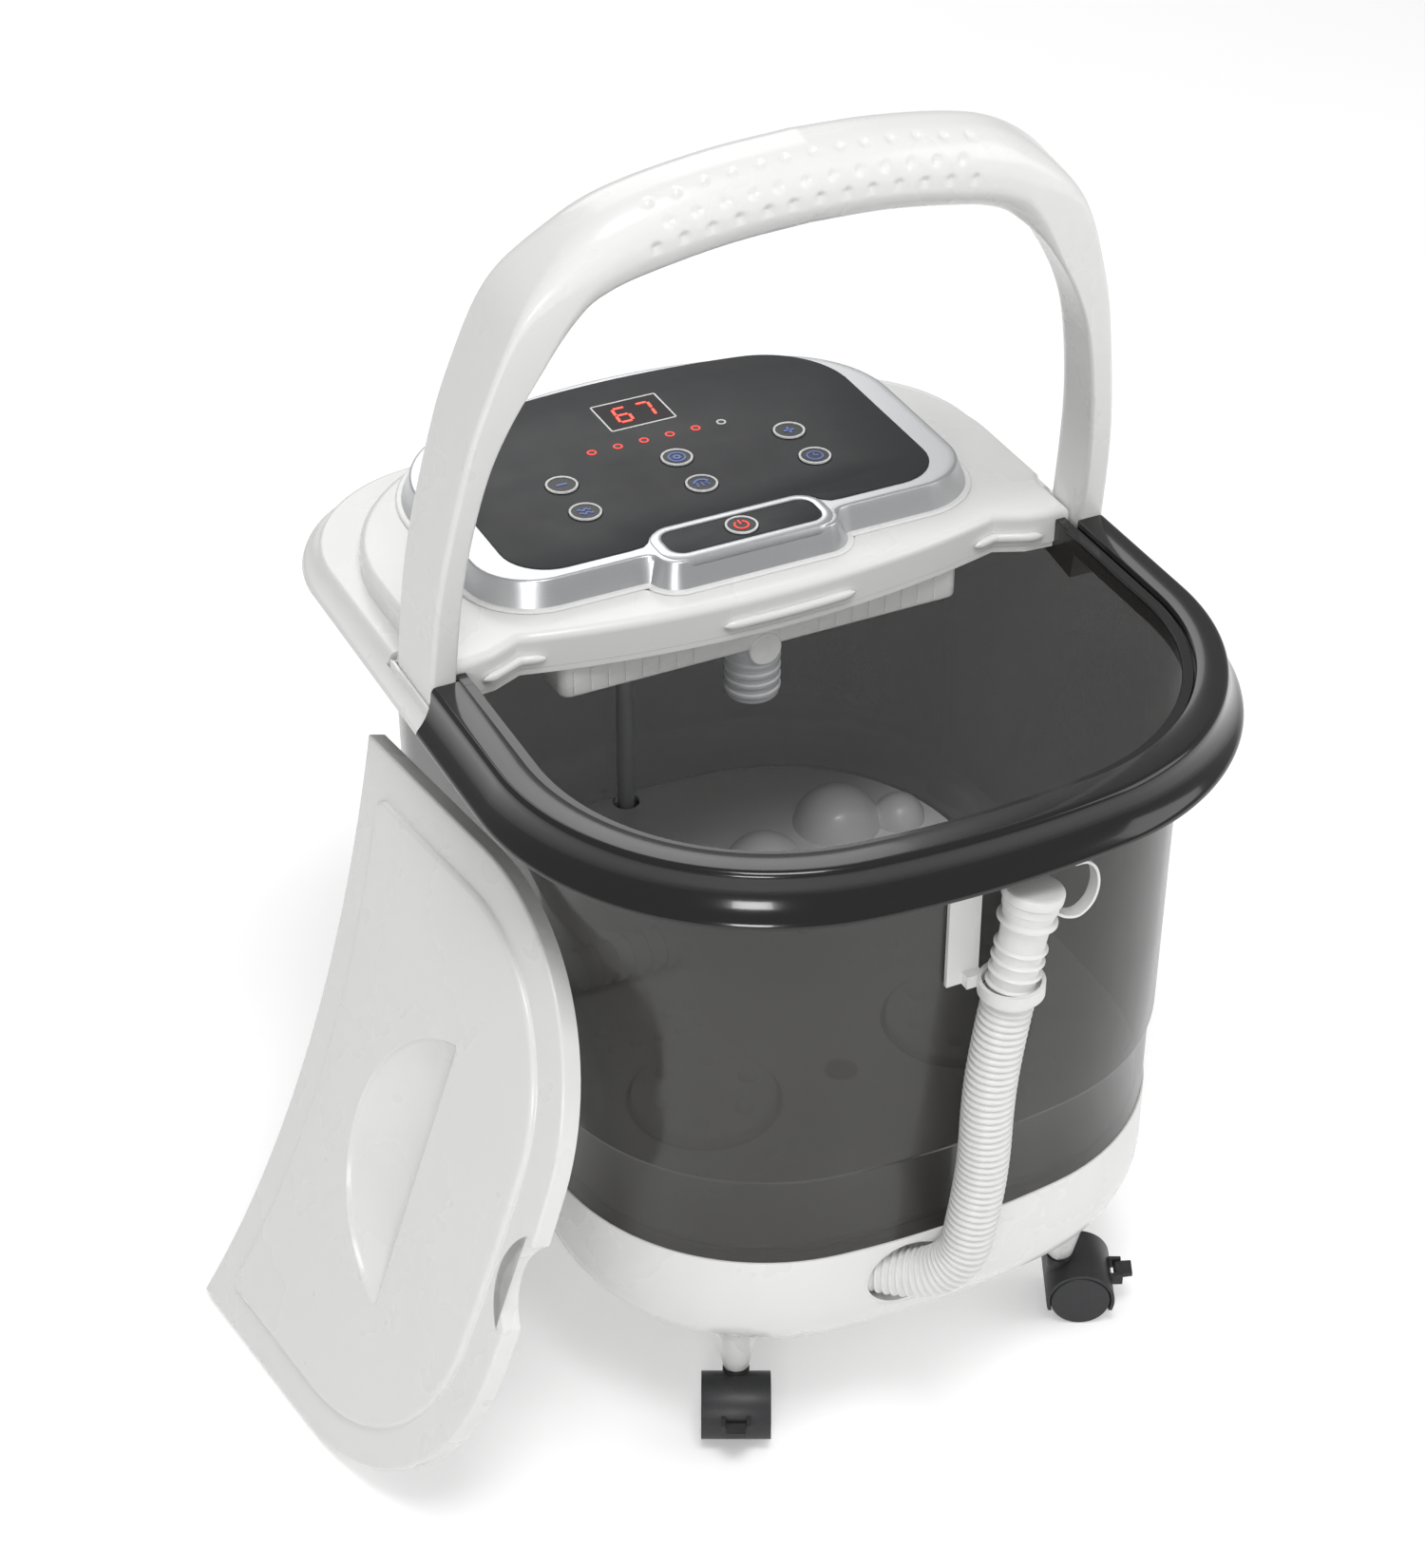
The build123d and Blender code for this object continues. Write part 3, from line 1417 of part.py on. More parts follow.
clip_z = 295.0
clip_height = 7.0
clip_radius = 14.2
clip_wall = 2.0
clip_centre = route[-1] + cuff_axis * ((clip_z + clip_height / 2 - route[-1].Z) / cuff_axis.Z)
clip_mouth = 15.0
clip_mouth_offset = 12.0
bracket_y = -(tub_half_length - 0.2)
bracket_x = -6.5
bracket_width = 17.0
bracket_thickness = 2.4
bracket_height = 62.0
bracket_gap = 0.3
arm_x = -2.5
arm_width = 9.0
arm_length = 8.0
with BuildPart() as hose_bracket:
    with BuildSketch(Plane.XY.offset(clip_z)):
        with Locations((clip_centre.X, clip_centre.Y)):
            Circle(clip_radius + clip_wall)
        with Locations((arm_x, bracket_y - arm_length / 2)):
            Rectangle(arm_width, arm_length)
        with Locations((clip_centre.X, clip_centre.Y)):
            Circle(clip_radius, mode=Mode.SUBTRACT)
        with Locations((clip_centre.X + clip_mouth_offset, clip_centre.Y + clip_mouth_offset)):
            Rectangle(clip_mouth, clip_mouth, rotation=45, mode=Mode.SUBTRACT)
    extrude(amount=clip_height)
    with BuildSketch(Plane.XY.offset(clip_z)):
        with Locations((bracket_x, bracket_y - bracket_gap - bracket_thickness / 2)):
            Rectangle(bracket_width, bracket_thickness)
    extrude(amount=bracket_height)
finish(hose_bracket.part, "hose_bracket")

# ================================================================ lid
turn_angle = math.radians(lid_turn)
tilt_angle = math.radians(lid_tilt)
lid_forward = Vector(math.cos(turn_angle), math.sin(turn_angle), 0)
lid_inward = Vector(-math.sin(turn_angle), math.cos(turn_angle), 0)
lid_up = lid_inward * math.sin(tilt_angle) + Vector(0, 0, math.cos(tilt_angle))
lid_out = lid_forward.cross(lid_up)
if lid_out.X > 0:
    lid_out = lid_out * -1
lid_origin = (
    Vector(lid_foot[0], lid_foot[1], lid_thickness * lid_out.Z)
    + lid_up * lid_half_width
    + lid_forward * lid_rear_side
)
lid_plane = Plane(origin=lid_origin, x_dir=tuple(lid_up), z_dir=tuple(lid_out))


notch_half_width = 24.0
notch_depth = 12.0


def lid_face(grow, height):
    """The lid's outline as it lies on the tub: round at the front, bowed in at the rear."""
    half_width = lid_half_width + grow
    middle, end = cap_points(half_width, lid_front + grow, lid_corner + grow, tub_straight)
    rear = lid_rear_side + grow
    with BuildSketch(lid_plane.offset(height)) as face:
        with BuildLine():
            ThreePointArc((-half_width, rear), (0, lid_rear_middle + grow), (half_width, rear))
            ThreePointArc((end[0], -end[1]), (0, -lid_front - grow), (-end[0], -end[1]))
            for side in (-1, 1):
                Line((side * half_width, rear), (side * half_width, -tub_straight))
                ThreePointArc(
                    (side * half_width, -tub_straight),
                    (side * middle[0], -middle[1]),
                    (side * end[0], -end[1]),
                )
        make_face()
        with Locations((0, -lid_front)):
            Ellipse(notch_half_width - grow, notch_depth - grow, mode=Mode.SUBTRACT)
    return face.sketch


recess_chord = 154.0
recess_sagitta = 60.0
recess_y = -110.0
recess_radius = ((recess_chord / 2) ** 2 + recess_sagitta**2) / (2 * recess_sagitta)


def recess_face(grow, height):
    """The half-moon hand recess: a round rear edge over a straight front edge."""
    with BuildSketch(lid_plane.offset(height)) as face:
        with Locations((0, recess_y + recess_sagitta - recess_radius)):
            Circle(recess_radius + grow)
        with Locations((0, recess_y - recess_radius - grow)):
            Rectangle(4 * recess_radius, 2 * recess_radius, mode=Mode.SUBTRACT)
    return face.sketch


recess_depth = 6.5
with BuildPart() as lid:
    extrude(lid_face(0, -lid_thickness), amount=lid_thickness)
    extrude(lid_face(-lid_border, 0), amount=lid_raise)
    extrude(
        lid_face(-lid_wall, -lid_thickness), amount=lid_thickness - lid_wall, mode=Mode.SUBTRACT
    )
    extrude(lid_face(-lid_border - lid_wall, -lid_wall), amount=lid_raise, mode=Mode.SUBTRACT)
    extrude(recess_face(lid_wall, -recess_depth - lid_wall), amount=recess_depth + lid_raise)
    extrude(recess_face(0, -recess_depth), amount=recess_depth + lid_raise, mode=Mode.SUBTRACT)
finish(lid.part, "lid")
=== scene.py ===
import json
import math

import bmesh
import bpy
import numpy as np
from bpy.props import FloatProperty, FloatVectorProperty, PointerProperty
from bpy.types import Operator, Panel, PropertyGroup
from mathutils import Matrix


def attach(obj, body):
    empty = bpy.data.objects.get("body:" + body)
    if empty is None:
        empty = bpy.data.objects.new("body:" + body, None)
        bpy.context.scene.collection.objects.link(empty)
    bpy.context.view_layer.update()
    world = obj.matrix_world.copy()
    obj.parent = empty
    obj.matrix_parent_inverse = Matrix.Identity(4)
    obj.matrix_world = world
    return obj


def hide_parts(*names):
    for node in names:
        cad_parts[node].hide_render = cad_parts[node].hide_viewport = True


bl_info = {
    "name": "Foot spa basin",
    "version": (1, 0, 0),
    "blender": (4, 5, 0),
    "location": "View3D > Sidebar > Foot spa",
    "description": "Builds the finish of a foot spa basin round its packed frame",
    "category": "Object",
}

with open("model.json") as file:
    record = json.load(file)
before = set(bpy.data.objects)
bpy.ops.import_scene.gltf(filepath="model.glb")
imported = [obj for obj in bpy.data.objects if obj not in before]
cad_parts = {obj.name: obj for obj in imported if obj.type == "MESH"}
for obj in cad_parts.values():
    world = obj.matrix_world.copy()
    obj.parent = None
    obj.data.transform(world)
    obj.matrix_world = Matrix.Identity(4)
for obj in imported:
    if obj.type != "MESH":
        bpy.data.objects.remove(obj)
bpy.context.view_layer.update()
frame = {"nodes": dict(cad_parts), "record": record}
recorded_slots = {part["slot"] for part in frame["record"]["materials"]}
MM = 0.001
CREASE = 35.0  # degrees past which an edge stays sharp
WELD_GAP = 1e-6  # points closer than this, in metres, are one
LEAST_RADIUS = 0.02  # the pole of a turned piece, in millimetres
CASTER_X, CASTER_Y = 97, 153  # each caster's stem, either side of the middle
BAR_LEVEL = 381  # height of the cover's clip bars
BAR_UNDER, BAR_OVER = 352.0, 372.0  # underside and top of the shower bar
KEY_GAP = 0.25  # between a key and its well
KEY_FOOT = 403  # height of a key's underside
LAMP_ROW = 142.0  # the row of lamps, from the middle of the tub


# ------------------------------------------------------------------ sizes and colours
def length(name, text, value):
    """A length property in metres, given in millimetres."""
    return FloatProperty(
        name=name, description=text, default=value * MM, unit="LENGTH", precision=5
    )


def colour(name, text, value):
    """A colour property."""
    return FloatVectorProperty(
        name=name, description=text, default=value, subtype="COLOR", size=3, min=0, max=1
    )


class SpaSizes(PropertyGroup):
    half_width: length("Tub half width", "Half of the tub's width at its top", 169)
    half_length: length("Tub half length", "Half of the tub's length at its top", 206)
    corner: length("Tub corner", "Radius of the tub's corners in plan", 122)
    bulge: length("End bulge", "How far the tub's ends bow past its corners", 3)
    wall: length("Wall", "Wall of the tub", 3)
    base_low: length("Base bottom", "Height of the base's flat bottom", 62)
    base_high: length("Base top", "Height of the joint between base and tub", 135)
    base_round: length("Base round", "Radius of the base's bottom edge", 40)
    step: length("Step", "Height of the step in the tub's side", 188)
    tub_top: length("Tub top", "Height of the tub's wall", 386)
    rim_top: length("Rim top", "Height of the dark rim", 392)
    cover_top: length("Cover top", "Height of the rear cover", 394.5)
    panel_top: length("Panel top", "Height of the control panel", 410)
    key_radius: length("Key radius", "Radius of a key cap", 8.8)
    hose_width: length("Hose width", "Outer diameter of the drain hose", 26)
    hose_pitch: length("Hose pitch", "Distance between two rings of the hose", 3.9)
    lean: FloatProperty(
        name="Handle lean",
        description="Forward lean of the handle",
        default=math.radians(8.5),
        subtype="ANGLE",
    )


class SpaColours(PropertyGroup):
    white: colour("White", "Glossy white casings", (0.80, 0.80, 0.79))
    smoke: colour("Smoke", "Smoked tub", (0.034, 0.032, 0.030))
    black: colour("Black", "Glossy rim", (0.008, 0.008, 0.008))
    silver: colour("Silver", "Panel bezel", (0.62, 0.63, 0.64))
    film: colour("Film", "Panel film", (0.017, 0.018, 0.020))
    red: colour("Red", "Figures and lamps", (0.85, 0.05, 0.03))
    blue: colour("Blue", "Key signs", (0.10, 0.16, 0.42))


# ------------------------------------------------------------------ shader expressions
class Signal:
    """A socket that takes part in sums: each + - * or / on it adds a Math node."""

    def __init__(self, tree, socket):
        self.tree = tree
        self.socket = socket

    def math(self, operation, other, flipped=False):
        """Add one Math node; flipped puts the other value first."""
        node = self.tree.nodes.new("ShaderNodeMath")
        node.operation = operation
        pair = (other, self) if flipped else (self, other)
        for slot, value in zip(node.inputs, pair):
            if isinstance(value, Signal):
                self.tree.links.new(value.socket, slot)
            else:
                slot.default_value = value
        return Signal(self.tree, node.outputs[0])

    def __add__(self, other):
        return self.math("ADD", other)

    __radd__ = __add__

    def __mul__(self, other):
        return self.math("MULTIPLY", other)

    __rmul__ = __mul__

    def __sub__(self, other):
        return self.math("SUBTRACT", other)

    def __rsub__(self, other):
        return self.math("SUBTRACT", other, flipped=True)

    def __truediv__(self, other):
        return self.math("DIVIDE", other)

    def __rtruediv__(self, other):
        return self.math("DIVIDE", other, flipped=True)


class Finish:
    """A material being written: its shader, and nodes added by type, settings and inputs."""

    MIX_INPUTS = (0, 6, 7)  # factor and the two colours of a colour Mix node
    MIX_RESULT = 2

    def __init__(self, name, base, roughness, metallic=0.0, **fixed):
        self.material = bpy.data.materials.new(name)
        self.material.use_nodes = True
        self.tree = self.material.node_tree
        self.shader = self.tree.nodes["Principled BSDF"]
        self.material.diffuse_color = (*base, 1)
        self.shader.inputs["Base Color"].default_value = (*base, 1)
        self.shader.inputs["Roughness"].default_value = roughness
        self.shader.inputs["Metallic"].default_value = metallic
        for label, value in fixed.items():
            self.shader.inputs[label.replace("_", " ")].default_value = value

    def node(self, kind, settings=None, outlet=0, **inputs):
        """Add a node: its settings first, then the values or links of its sockets."""
        node = self.tree.nodes.new(kind)
        for key, value in (settings or {}).items():
            setattr(node, key, value)
        for key, value in inputs.items():
            socket = node.inputs[key.replace("_", " ")]
            if isinstance(value, Signal):
                self.tree.links.new(value.socket, socket)
            else:
                socket.default_value = value
        return Signal(self.tree, node.outputs[outlet])

    def feed(self, label, signal):
        """Link a signal to one of the shader's sockets."""
        self.tree.links.new(signal.socket, self.shader.inputs[label])

    def place(self):
        """Object coordinates."""
        return self.node("ShaderNodeTexCoord", outlet="Object")

    def noise(self, scale, detail=3.0):
        """A cloud in object coordinates."""
        where = self.place()
        return self.node("ShaderNodeTexNoise", Vector=where, Scale=scale, Detail=detail)

    def tint(self, mask, first, second):
        """Base colour that runs from the first to the second colour by a mask."""
        node = self.tree.nodes.new("ShaderNodeMix")
        node.data_type = "RGBA"
        factor, low, high = (node.inputs[place] for place in self.MIX_INPUTS)
        low.default_value = (*first, 1)
        high.default_value = (*second, 1)
        self.tree.links.new(mask.socket, factor)
        self.feed("Base Color", Signal(self.tree, node.outputs[self.MIX_RESULT]))

    def bump(self, height, strength, distance):
        """Raise the surface by a signal; the distance is in millimetres."""
        lift = self.node("ShaderNodeBump", Height=height, Strength=strength, Distance=distance * MM)
        self.feed("Normal", lift)


def shade(base, factor):
    """A colour made lighter or darker."""
    return tuple(min(1.0, part * factor) for part in base)


def white_plastic(name, base, roughness=0.28):
    """Moulded white: a faint cloud in its gloss, and a very fine orange peel."""
    finish = Finish(name, base, roughness, Coat_Weight=0.25, Coat_Roughness=0.08, IOR=1.49)
    cloud = finish.noise(22.0)
    finish.feed("Roughness", cloud * 0.12 + (roughness - 0.06))
    finish.tint(finish.noise(7.0), shade(base, 0.975), shade(base, 1.02))
    finish.bump(finish.noise(900.0, 1.0), 0.06, 0.05)
    return finish.material


def smoked_plastic(name, base, alpha=0.78):
    """Dark see-through plastic with a soft cloud and smooth gloss."""
    finish = Finish(name, base, 0.16, Coat_Weight=0.2, Coat_Roughness=0.05, Alpha=alpha, IOR=1.49)
    finish.tint(finish.noise(9.0, 4.0), shade(base, 0.8), shade(base, 1.3))
    finish.feed("Roughness", finish.noise(35.0) * 0.1 + 0.14)
    return finish.material


def black_gloss(name, base):
    """Deep black lacquer with hardly any texture."""
    finish = Finish(name, base, 0.16, Coat_Weight=0.3, Coat_Roughness=0.05, IOR=1.45)
    finish.feed("Roughness", finish.noise(30.0) * 0.08 + 0.12)
    finish.bump(finish.noise(300.0, 1.0), 0.03, 0.05)
    return finish.material


def silver_paint(name, base):
    """Satin silver with a fine metallic grain."""
    finish = Finish(name, base, 0.34, metallic=0.85)
    grain = finish.noise(2500.0, 2.0)
    finish.tint(grain, shade(base, 0.9), shade(base, 1.1))
    finish.feed("Roughness", finish.noise(60.0) * 0.12 + 0.27)
    finish.bump(grain, 0.05, 0.03)
    return finish.material


def matt_black(name, base, grain=1400.0, roughness=0.5):
    """Black film or nylon with a fine grain."""
    finish = Finish(name, base, roughness, IOR=1.45)
    speck = finish.noise(grain, 2.0)
    finish.tint(speck, shade(base, 0.7), shade(base, 1.5))
    finish.feed("Roughness", finish.noise(50.0) * 0.14 + (roughness - 0.07))
    finish.bump(speck, 0.18, 0.06)
    return finish.material


def glow(name, base, strength):
    """A figure whose colour shines a little; on the printed key signs this shine is a painted glow.
    """
    finish = Finish(name, base, 0.4, Emission_Strength=strength)
    finish.shader.inputs["Emission Color"].default_value = (*base, 1)
    finish.feed("Roughness", finish.noise(80.0) * 0.1 + 0.35)
    return finish.material


def plain_metal(name, base, roughness=0.25):
    """Plated steel."""
    finish = Finish(name, base, roughness, metallic=1.0)
    finish.feed("Roughness", finish.noise(90.0) * 0.15 + (roughness - 0.06))
    return finish.material


materials = {}


def make_materials(colours):
    """Every finish, by its slot's name in the record."""
    white = tuple(colours.white)
    film = tuple(colours.film)
    red = tuple(colours.red)
    materials.update(
        white_body=white_plastic("white_body", white),
        white_hose=white_plastic("white_hose", shade(white, 0.97), 0.42),
        grey_floor=white_plastic("grey_floor", (0.78, 0.78, 0.78), 0.35),
        smoked_tub=smoked_plastic("smoked_tub", tuple(colours.smoke)),
        black_rim=black_gloss("black_rim", tuple(colours.black)),
        silver_bezel=silver_paint("silver_bezel", tuple(colours.silver)),
        black_panel=matt_black("black_panel", film),
        key_black=matt_black("key_black", shade(film, 0.8), 900.0, 0.35),
        display=matt_black("display", (0.010, 0.006, 0.006), 900.0, 0.55),
        red_lamp=glow("red_lamp", red, 0.6),
        figure_red=glow("figure_red", red, 2.2),
        # painted glow: the printed blue key signs shine a little, though they are no lamps
        sign_blue=glow("sign_blue", tuple(colours.blue), 0.25),
        line_white=matt_black("line_white", (0.7, 0.7, 0.7), 600.0, 0.5),
        board_green=matt_black("board_green", (0.03, 0.16, 0.06), 500.0, 0.5),
        black_caster=matt_black("black_caster", (0.022, 0.022, 0.024), 1100.0, 0.42),
        steel=plain_metal("steel", (0.6, 0.6, 0.6)),
        pipe_clear=white_plastic("pipe_clear", (0.55, 0.56, 0.57), 0.2),
        motor_grey=matt_black("motor_grey", (0.2, 0.21, 0.22), 500.0, 0.4),
        heater_steel=plain_metal("heater_steel", (0.55, 0.54, 0.52), 0.35),
    )


# ------------------------------------------------------------------ surfaces
def grid_faces(rows, columns, wrap_rows=False):
    """Quads between neighbouring points of a grid: each row is closed round, and where
    wrap_rows is set the last row meets the first."""
    row = np.arange(rows if wrap_rows else rows - 1)
    row, column = (part.ravel() for part in np.meshgrid(row, np.arange(columns), indexing="ij"))
    next_row = (row + 1) % rows
    next_column = (column + 1) % columns
    corners = ((row, column), (row, next_column), (next_row, next_column), (next_row, column))
    return np.stack([here * columns + across for here, across in corners], axis=1)


def make_piece(name, points, faces, slot, body, stands_for=(), crease=CREASE):
    """A closed mesh from points in metres, smooth up to a crease angle, riding on a CAD body."""
    mesh = bpy.data.meshes.new(name)
    mesh.from_pydata(points.tolist(), [], faces)
    shape = bmesh.new()
    shape.from_mesh(mesh)
    bmesh.ops.remove_doubles(shape, verts=shape.verts, dist=WELD_GAP)
    bmesh.ops.recalc_face_normals(shape, faces=shape.faces)
    shape.to_mesh(mesh)
    shape.free()
    piece = bpy.data.objects.new(name, mesh)
    bpy.context.scene.collection.objects.link(piece)
    dress(piece, slot, crease)
    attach(piece, body)
    if stands_for:
        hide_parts(*stands_for)
    return piece


def dress(piece, slot, crease=CREASE):
    """Give a new piece its finish and its shading."""
    mesh = piece.data
    mesh.materials.clear()
    mesh.materials.append(materials[slot])
    mesh.polygons.foreach_set("use_smooth", np.ones(len(mesh.polygons), dtype=bool))
    mesh.set_sharp_from_angle(angle=math.radians(crease))
    slot in recorded_slots


def rings_to_solid(name, rings, slot, body, stands_for=(), closed=False, crease=CREASE):
    """A solid through a stack of rings (count, points, 3): capped at both ends, or closed round."""
    rings = np.asarray(rings, dtype=float)
    rows, columns = rings.shape[:2]
    faces = grid_faces(rows, columns, wrap_rows=closed).tolist()
    if not closed:
        faces.append(list(range(columns))[::-1])
        faces.append(list(range((rows - 1) * columns, rows * columns)))
    return make_piece(name, rings.reshape(-1, 3), faces, slot, body, stands_for, crease)


def miter(points):
    """Outward offset directions of a closed anticlockwise outline, longer at its corners."""
    ahead = np.roll(points, -1, axis=0) - points
    ahead /= np.linalg.norm(ahead, axis=1, keepdims=True)
    normal = np.stack([ahead[:, 1], -ahead[:, 0]], axis=1)
    before = np.roll(normal, 1, axis=0)
    both = normal + before
    return both / np.maximum(1 + (normal * before).sum(1, keepdims=True), 0.3)


def loft(name, outline, profile, slot, body, stands_for=(), closed=False, crease=CREASE):
    """Carry a profile of (grow, height) pairs round an outline; all in millimetres."""
    away = miter(outline)
    rings = [
        np.column_stack([outline + away * grow, np.full(len(outline), height)])
        for grow, height in profile
    ]
    return rings_to_solid(name, np.array(rings) * MM, slot, body, stands_for, closed, crease)


def end_arc(half_width, reach, corner, straight, steps=26):
    """Right to left round a tub end: a corner arc, a shallow end arc and the other corner."""
    across = half_width - corner
    along = reach - straight
    cap = (across**2 + along**2 - corner**2) / (2 * (along - corner))
    turn = math.atan2(straight - (reach - cap), across)
    bend = np.linspace(0, turn, steps)
    sweep = np.linspace(turn, math.pi - turn, steps + 1)[1:-1]
    first = np.column_stack([across + corner * np.cos(bend), straight + corner * np.sin(bend)])
    middle = np.column_stack([cap * np.cos(sweep), reach - cap + cap * np.sin(sweep)])
    last = first[::-1] * (-1, 1)
    return np.concatenate([first, middle, last])


def mirrored(points):
    """The same run of points on the other side of the middle, in reverse order."""
    return [(-x, y) for x, y in points[::-1]]


def tub_outline(sizes):
    """The tub's closed outline in millimetres, anticlockwise from above."""
    half_width = sizes.half_width / MM
    reach = sizes.half_length / MM
    corner = sizes.corner / MM
    straight = reach - corner - sizes.bulge / MM
    rear = end_arc(half_width, reach, corner, straight)
    return np.concatenate([rear, -rear])


def quarter(start, end, out_first=True, steps=6):
    """Points of a quarter ellipse between two (grow, height) pairs."""
    turn = np.linspace(0, math.pi / 2, steps)
    (a, b), (c, d) = start, end
    if out_first:
        return [(a + (c - a) * math.sin(t), b + (d - b) * (1 - math.cos(t))) for t in turn]
    return [(a + (c - a) * (1 - math.cos(t)), b + (d - b) * math.sin(t)) for t in turn]


def turned(name, profile, centre, slot, body, axis=(0, 0, 1), stands_for=(), steps=48):
    """Turn a profile of (radius, height) pairs about an axis; all in millimetres."""
    axis = np.array(axis, dtype=float)
    axis /= np.linalg.norm(axis)
    helper = np.array((1.0, 0, 0)) if abs(axis[0]) < 0.9 else np.array((0, 1.0, 0))
    side = np.cross(axis, helper)
    side /= np.linalg.norm(side)
    other = np.cross(axis, side)
    angle = np.linspace(0, 2 * math.pi, steps, endpoint=False)
    ring = np.outer(np.cos(angle), side) + np.outer(np.sin(angle), other)
    rings = [
        np.array(centre) + axis * height + ring * max(radius, LEAST_RADIUS)
        for radius, height in profile
    ]
    return rings_to_solid(name, np.array(rings) * MM, slot, body, stands_for)


def joined(pieces, name):
    """Join like pieces that ride together into one."""
    first = pieces[0]
    shape = bmesh.new()
    for piece in pieces:
        shape.from_mesh(piece.data)
    shape.to_mesh(first.data)
    shape.free()
    for piece in pieces[1:]:
        bpy.data.objects.remove(piece)
    first.name = name
    paint = first.data.materials[0]
    dress(first, next(slot for slot, made in materials.items() if made == paint))
    return first


def cut(piece, cutters):
    """Cut closed shapes out of a piece and delete them."""
    for cutter in cutters:
        change = piece.modifiers.new("cut", "BOOLEAN")
        change.operation = "DIFFERENCE"
        change.solver = "EXACT"
        change.object = cutter
        bpy.context.view_layer.update()
        result = bpy.data.meshes.new_from_object(
            piece.evaluated_get(bpy.context.evaluated_depsgraph_get())
        )
        piece.modifiers.clear()
        old = piece.data
        piece.data = result
        bpy.data.meshes.remove(old)
        bpy.data.objects.remove(cutter)
    piece.data.set_sharp_from_angle(angle=math.radians(CREASE))


def repaint(node, slot):
    """Give a CAD node its finish, and weld its loose triangles."""
    part = frame["nodes"][node]
    part.data.materials.clear()
    part.data.materials.append(materials[slot])
    weld = part.modifiers.new("weld", "WELD")
    weld.merge_threshold = WELD_GAP


# ------------------------------------------------------------------ base and tub
def build_base(sizes):
    """White base: a flat bottom, a large quarter-round edge, a straight wall, an oval hole for
    the hose and four tapered bosses."""
    low = sizes.base_low / MM
    high = sizes.base_high / MM
    radius = sizes.base_round / MM
    side = -3.5  # the base stands this far inside the tub's line
    wall = sizes.wall / MM
    profile = quarter((side - radius, low), (side, low + radius), steps=14)
    profile += [(side, high - 0.8), (side - 0.25, high - 0.2), (side - 0.8, high)]
    profile += [(side - wall, high - 0.1)]
    profile += quarter((side - radius, low + wall), (side - wall, low + radius), steps=8)[::-1]
    base = loft("base_shell", tub_outline(sizes), profile, "white_body", "root", ("base_tray",))
    outlet = (-25.0, 0.0, 111.0)
    angle = np.linspace(0, 2 * math.pi, 48, endpoint=False)
    oval = np.column_stack([24 * np.cos(angle), np.zeros(48), 20 * np.sin(angle)]) + outlet
    rings = [oval + (0, depth, 0) for depth in (-215.0, -185.0)]
    cut(base, [rings_to_solid("hole", np.array(rings) * MM, "white_body", "root")])
    boss = [(0, 36), (6.2, 36), (7.0, 36.8), (8.6, 44), (10.8, 54), (13.5, 64), (18, 72), (0, 73)]
    bosses = [
        turned("boss", boss, (CASTER_X * side_x, CASTER_Y * side_y, 0), "white_body", "root")
        for side_x in (-1, 1)
        for side_y in (-1, 1)
    ]
    joined(bosses, "caster_bosses")


def build_tub(sizes):
    """Smoked tub: a plain band, a stepped shoulder and a slightly flared wall."""
    low = sizes.base_high / MM
    step = sizes.step / MM
    top = sizes.tub_top / MM
    wall = sizes.wall / MM
    outer = [(-4.5, low + 0.3), (-4.2, step - 1.6), (-3.9, step - 0.6), (-2.6, step + 0.6)]
    outer += [(-2.0, step + 1.4), (-1.8, step + 2.6), (-1.2, step + 66), (-0.6, step + 132)]
    inner = [(-wall, top), (-1.8 - wall, step + 3), (-4.3 - wall, step), (-4.5 - wall, low + 6)]
    profile = [(-4.5 - wall, low + 3), (-4.5 - wall, low + 0.3)] + outer + [(0.0, top)] + inner
    loft("tub_shell", tub_outline(sizes), profile, "smoked_tub", "root", ("basin",), crease=50)


def front_path(sizes):
    """The wall line round the front, from the right side to the left, and its half width."""
    half_width = sizes.half_width / MM
    reach = sizes.half_length / MM
    corner = sizes.corner / MM
    straight = reach - corner - sizes.bulge / MM
    path = -end_arc(half_width, reach, corner, straight, 40)
    return path[::-1], half_width


def carry(path, start_y, half_width, section):
    """Carry a closed section (outwards, height) along a U-shaped path in plan."""
    path = np.concatenate([[(half_width, start_y)], path, [(-half_width, start_y)]])
    ahead = np.gradient(path, axis=0)
    ahead /= np.linalg.norm(ahead, axis=1, keepdims=True)
    away = np.column_stack([ahead[:, 1], -ahead[:, 0]])
    if away[0, 0] < 0:
        away = -away
    away[0] = (1, 0)
    away[-1] = (-1, 0)
    section = np.asarray(section, dtype=float)
    spots = path[:, None, :] + away[:, None, :] * section[None, :, :1]
    heights = np.broadcast_to(section[None, :, 1:], spots.shape[:2] + (1,))
    return np.concatenate([spots, heights], axis=2)


def arc_points(start, through, end, steps=8):
    """Points of the circular arc through three points."""
    (ax, ay), (bx, by), (cx, cy) = start, through, end
    span = 2 * (ax * (by - cy) + bx * (cy - ay) + cx * (ay - by))
    aa, bb, cc = ax**2 + ay**2, bx**2 + by**2, cx**2 + cy**2
    ux = (aa * (by - cy) + bb * (cy - ay) + cc * (ay - by)) / span
    uy = (aa * (cx - bx) + bb * (ax - cx) + cc * (bx - ax)) / span
    first = math.atan2(ay - uy, ax - ux)
    middle = (math.atan2(by - uy, bx - ux) - first) % (2 * math.pi)
    last = (math.atan2(cy - uy, cx - ux) - first) % (2 * math.pi)
    if middle > last:
        last -= 2 * math.pi
    radius = math.hypot(ax - ux, ay - uy)
    turn = first + np.linspace(0, last, steps)
    return [(ux + radius * math.cos(t), uy + radius * math.sin(t)) for t in turn]


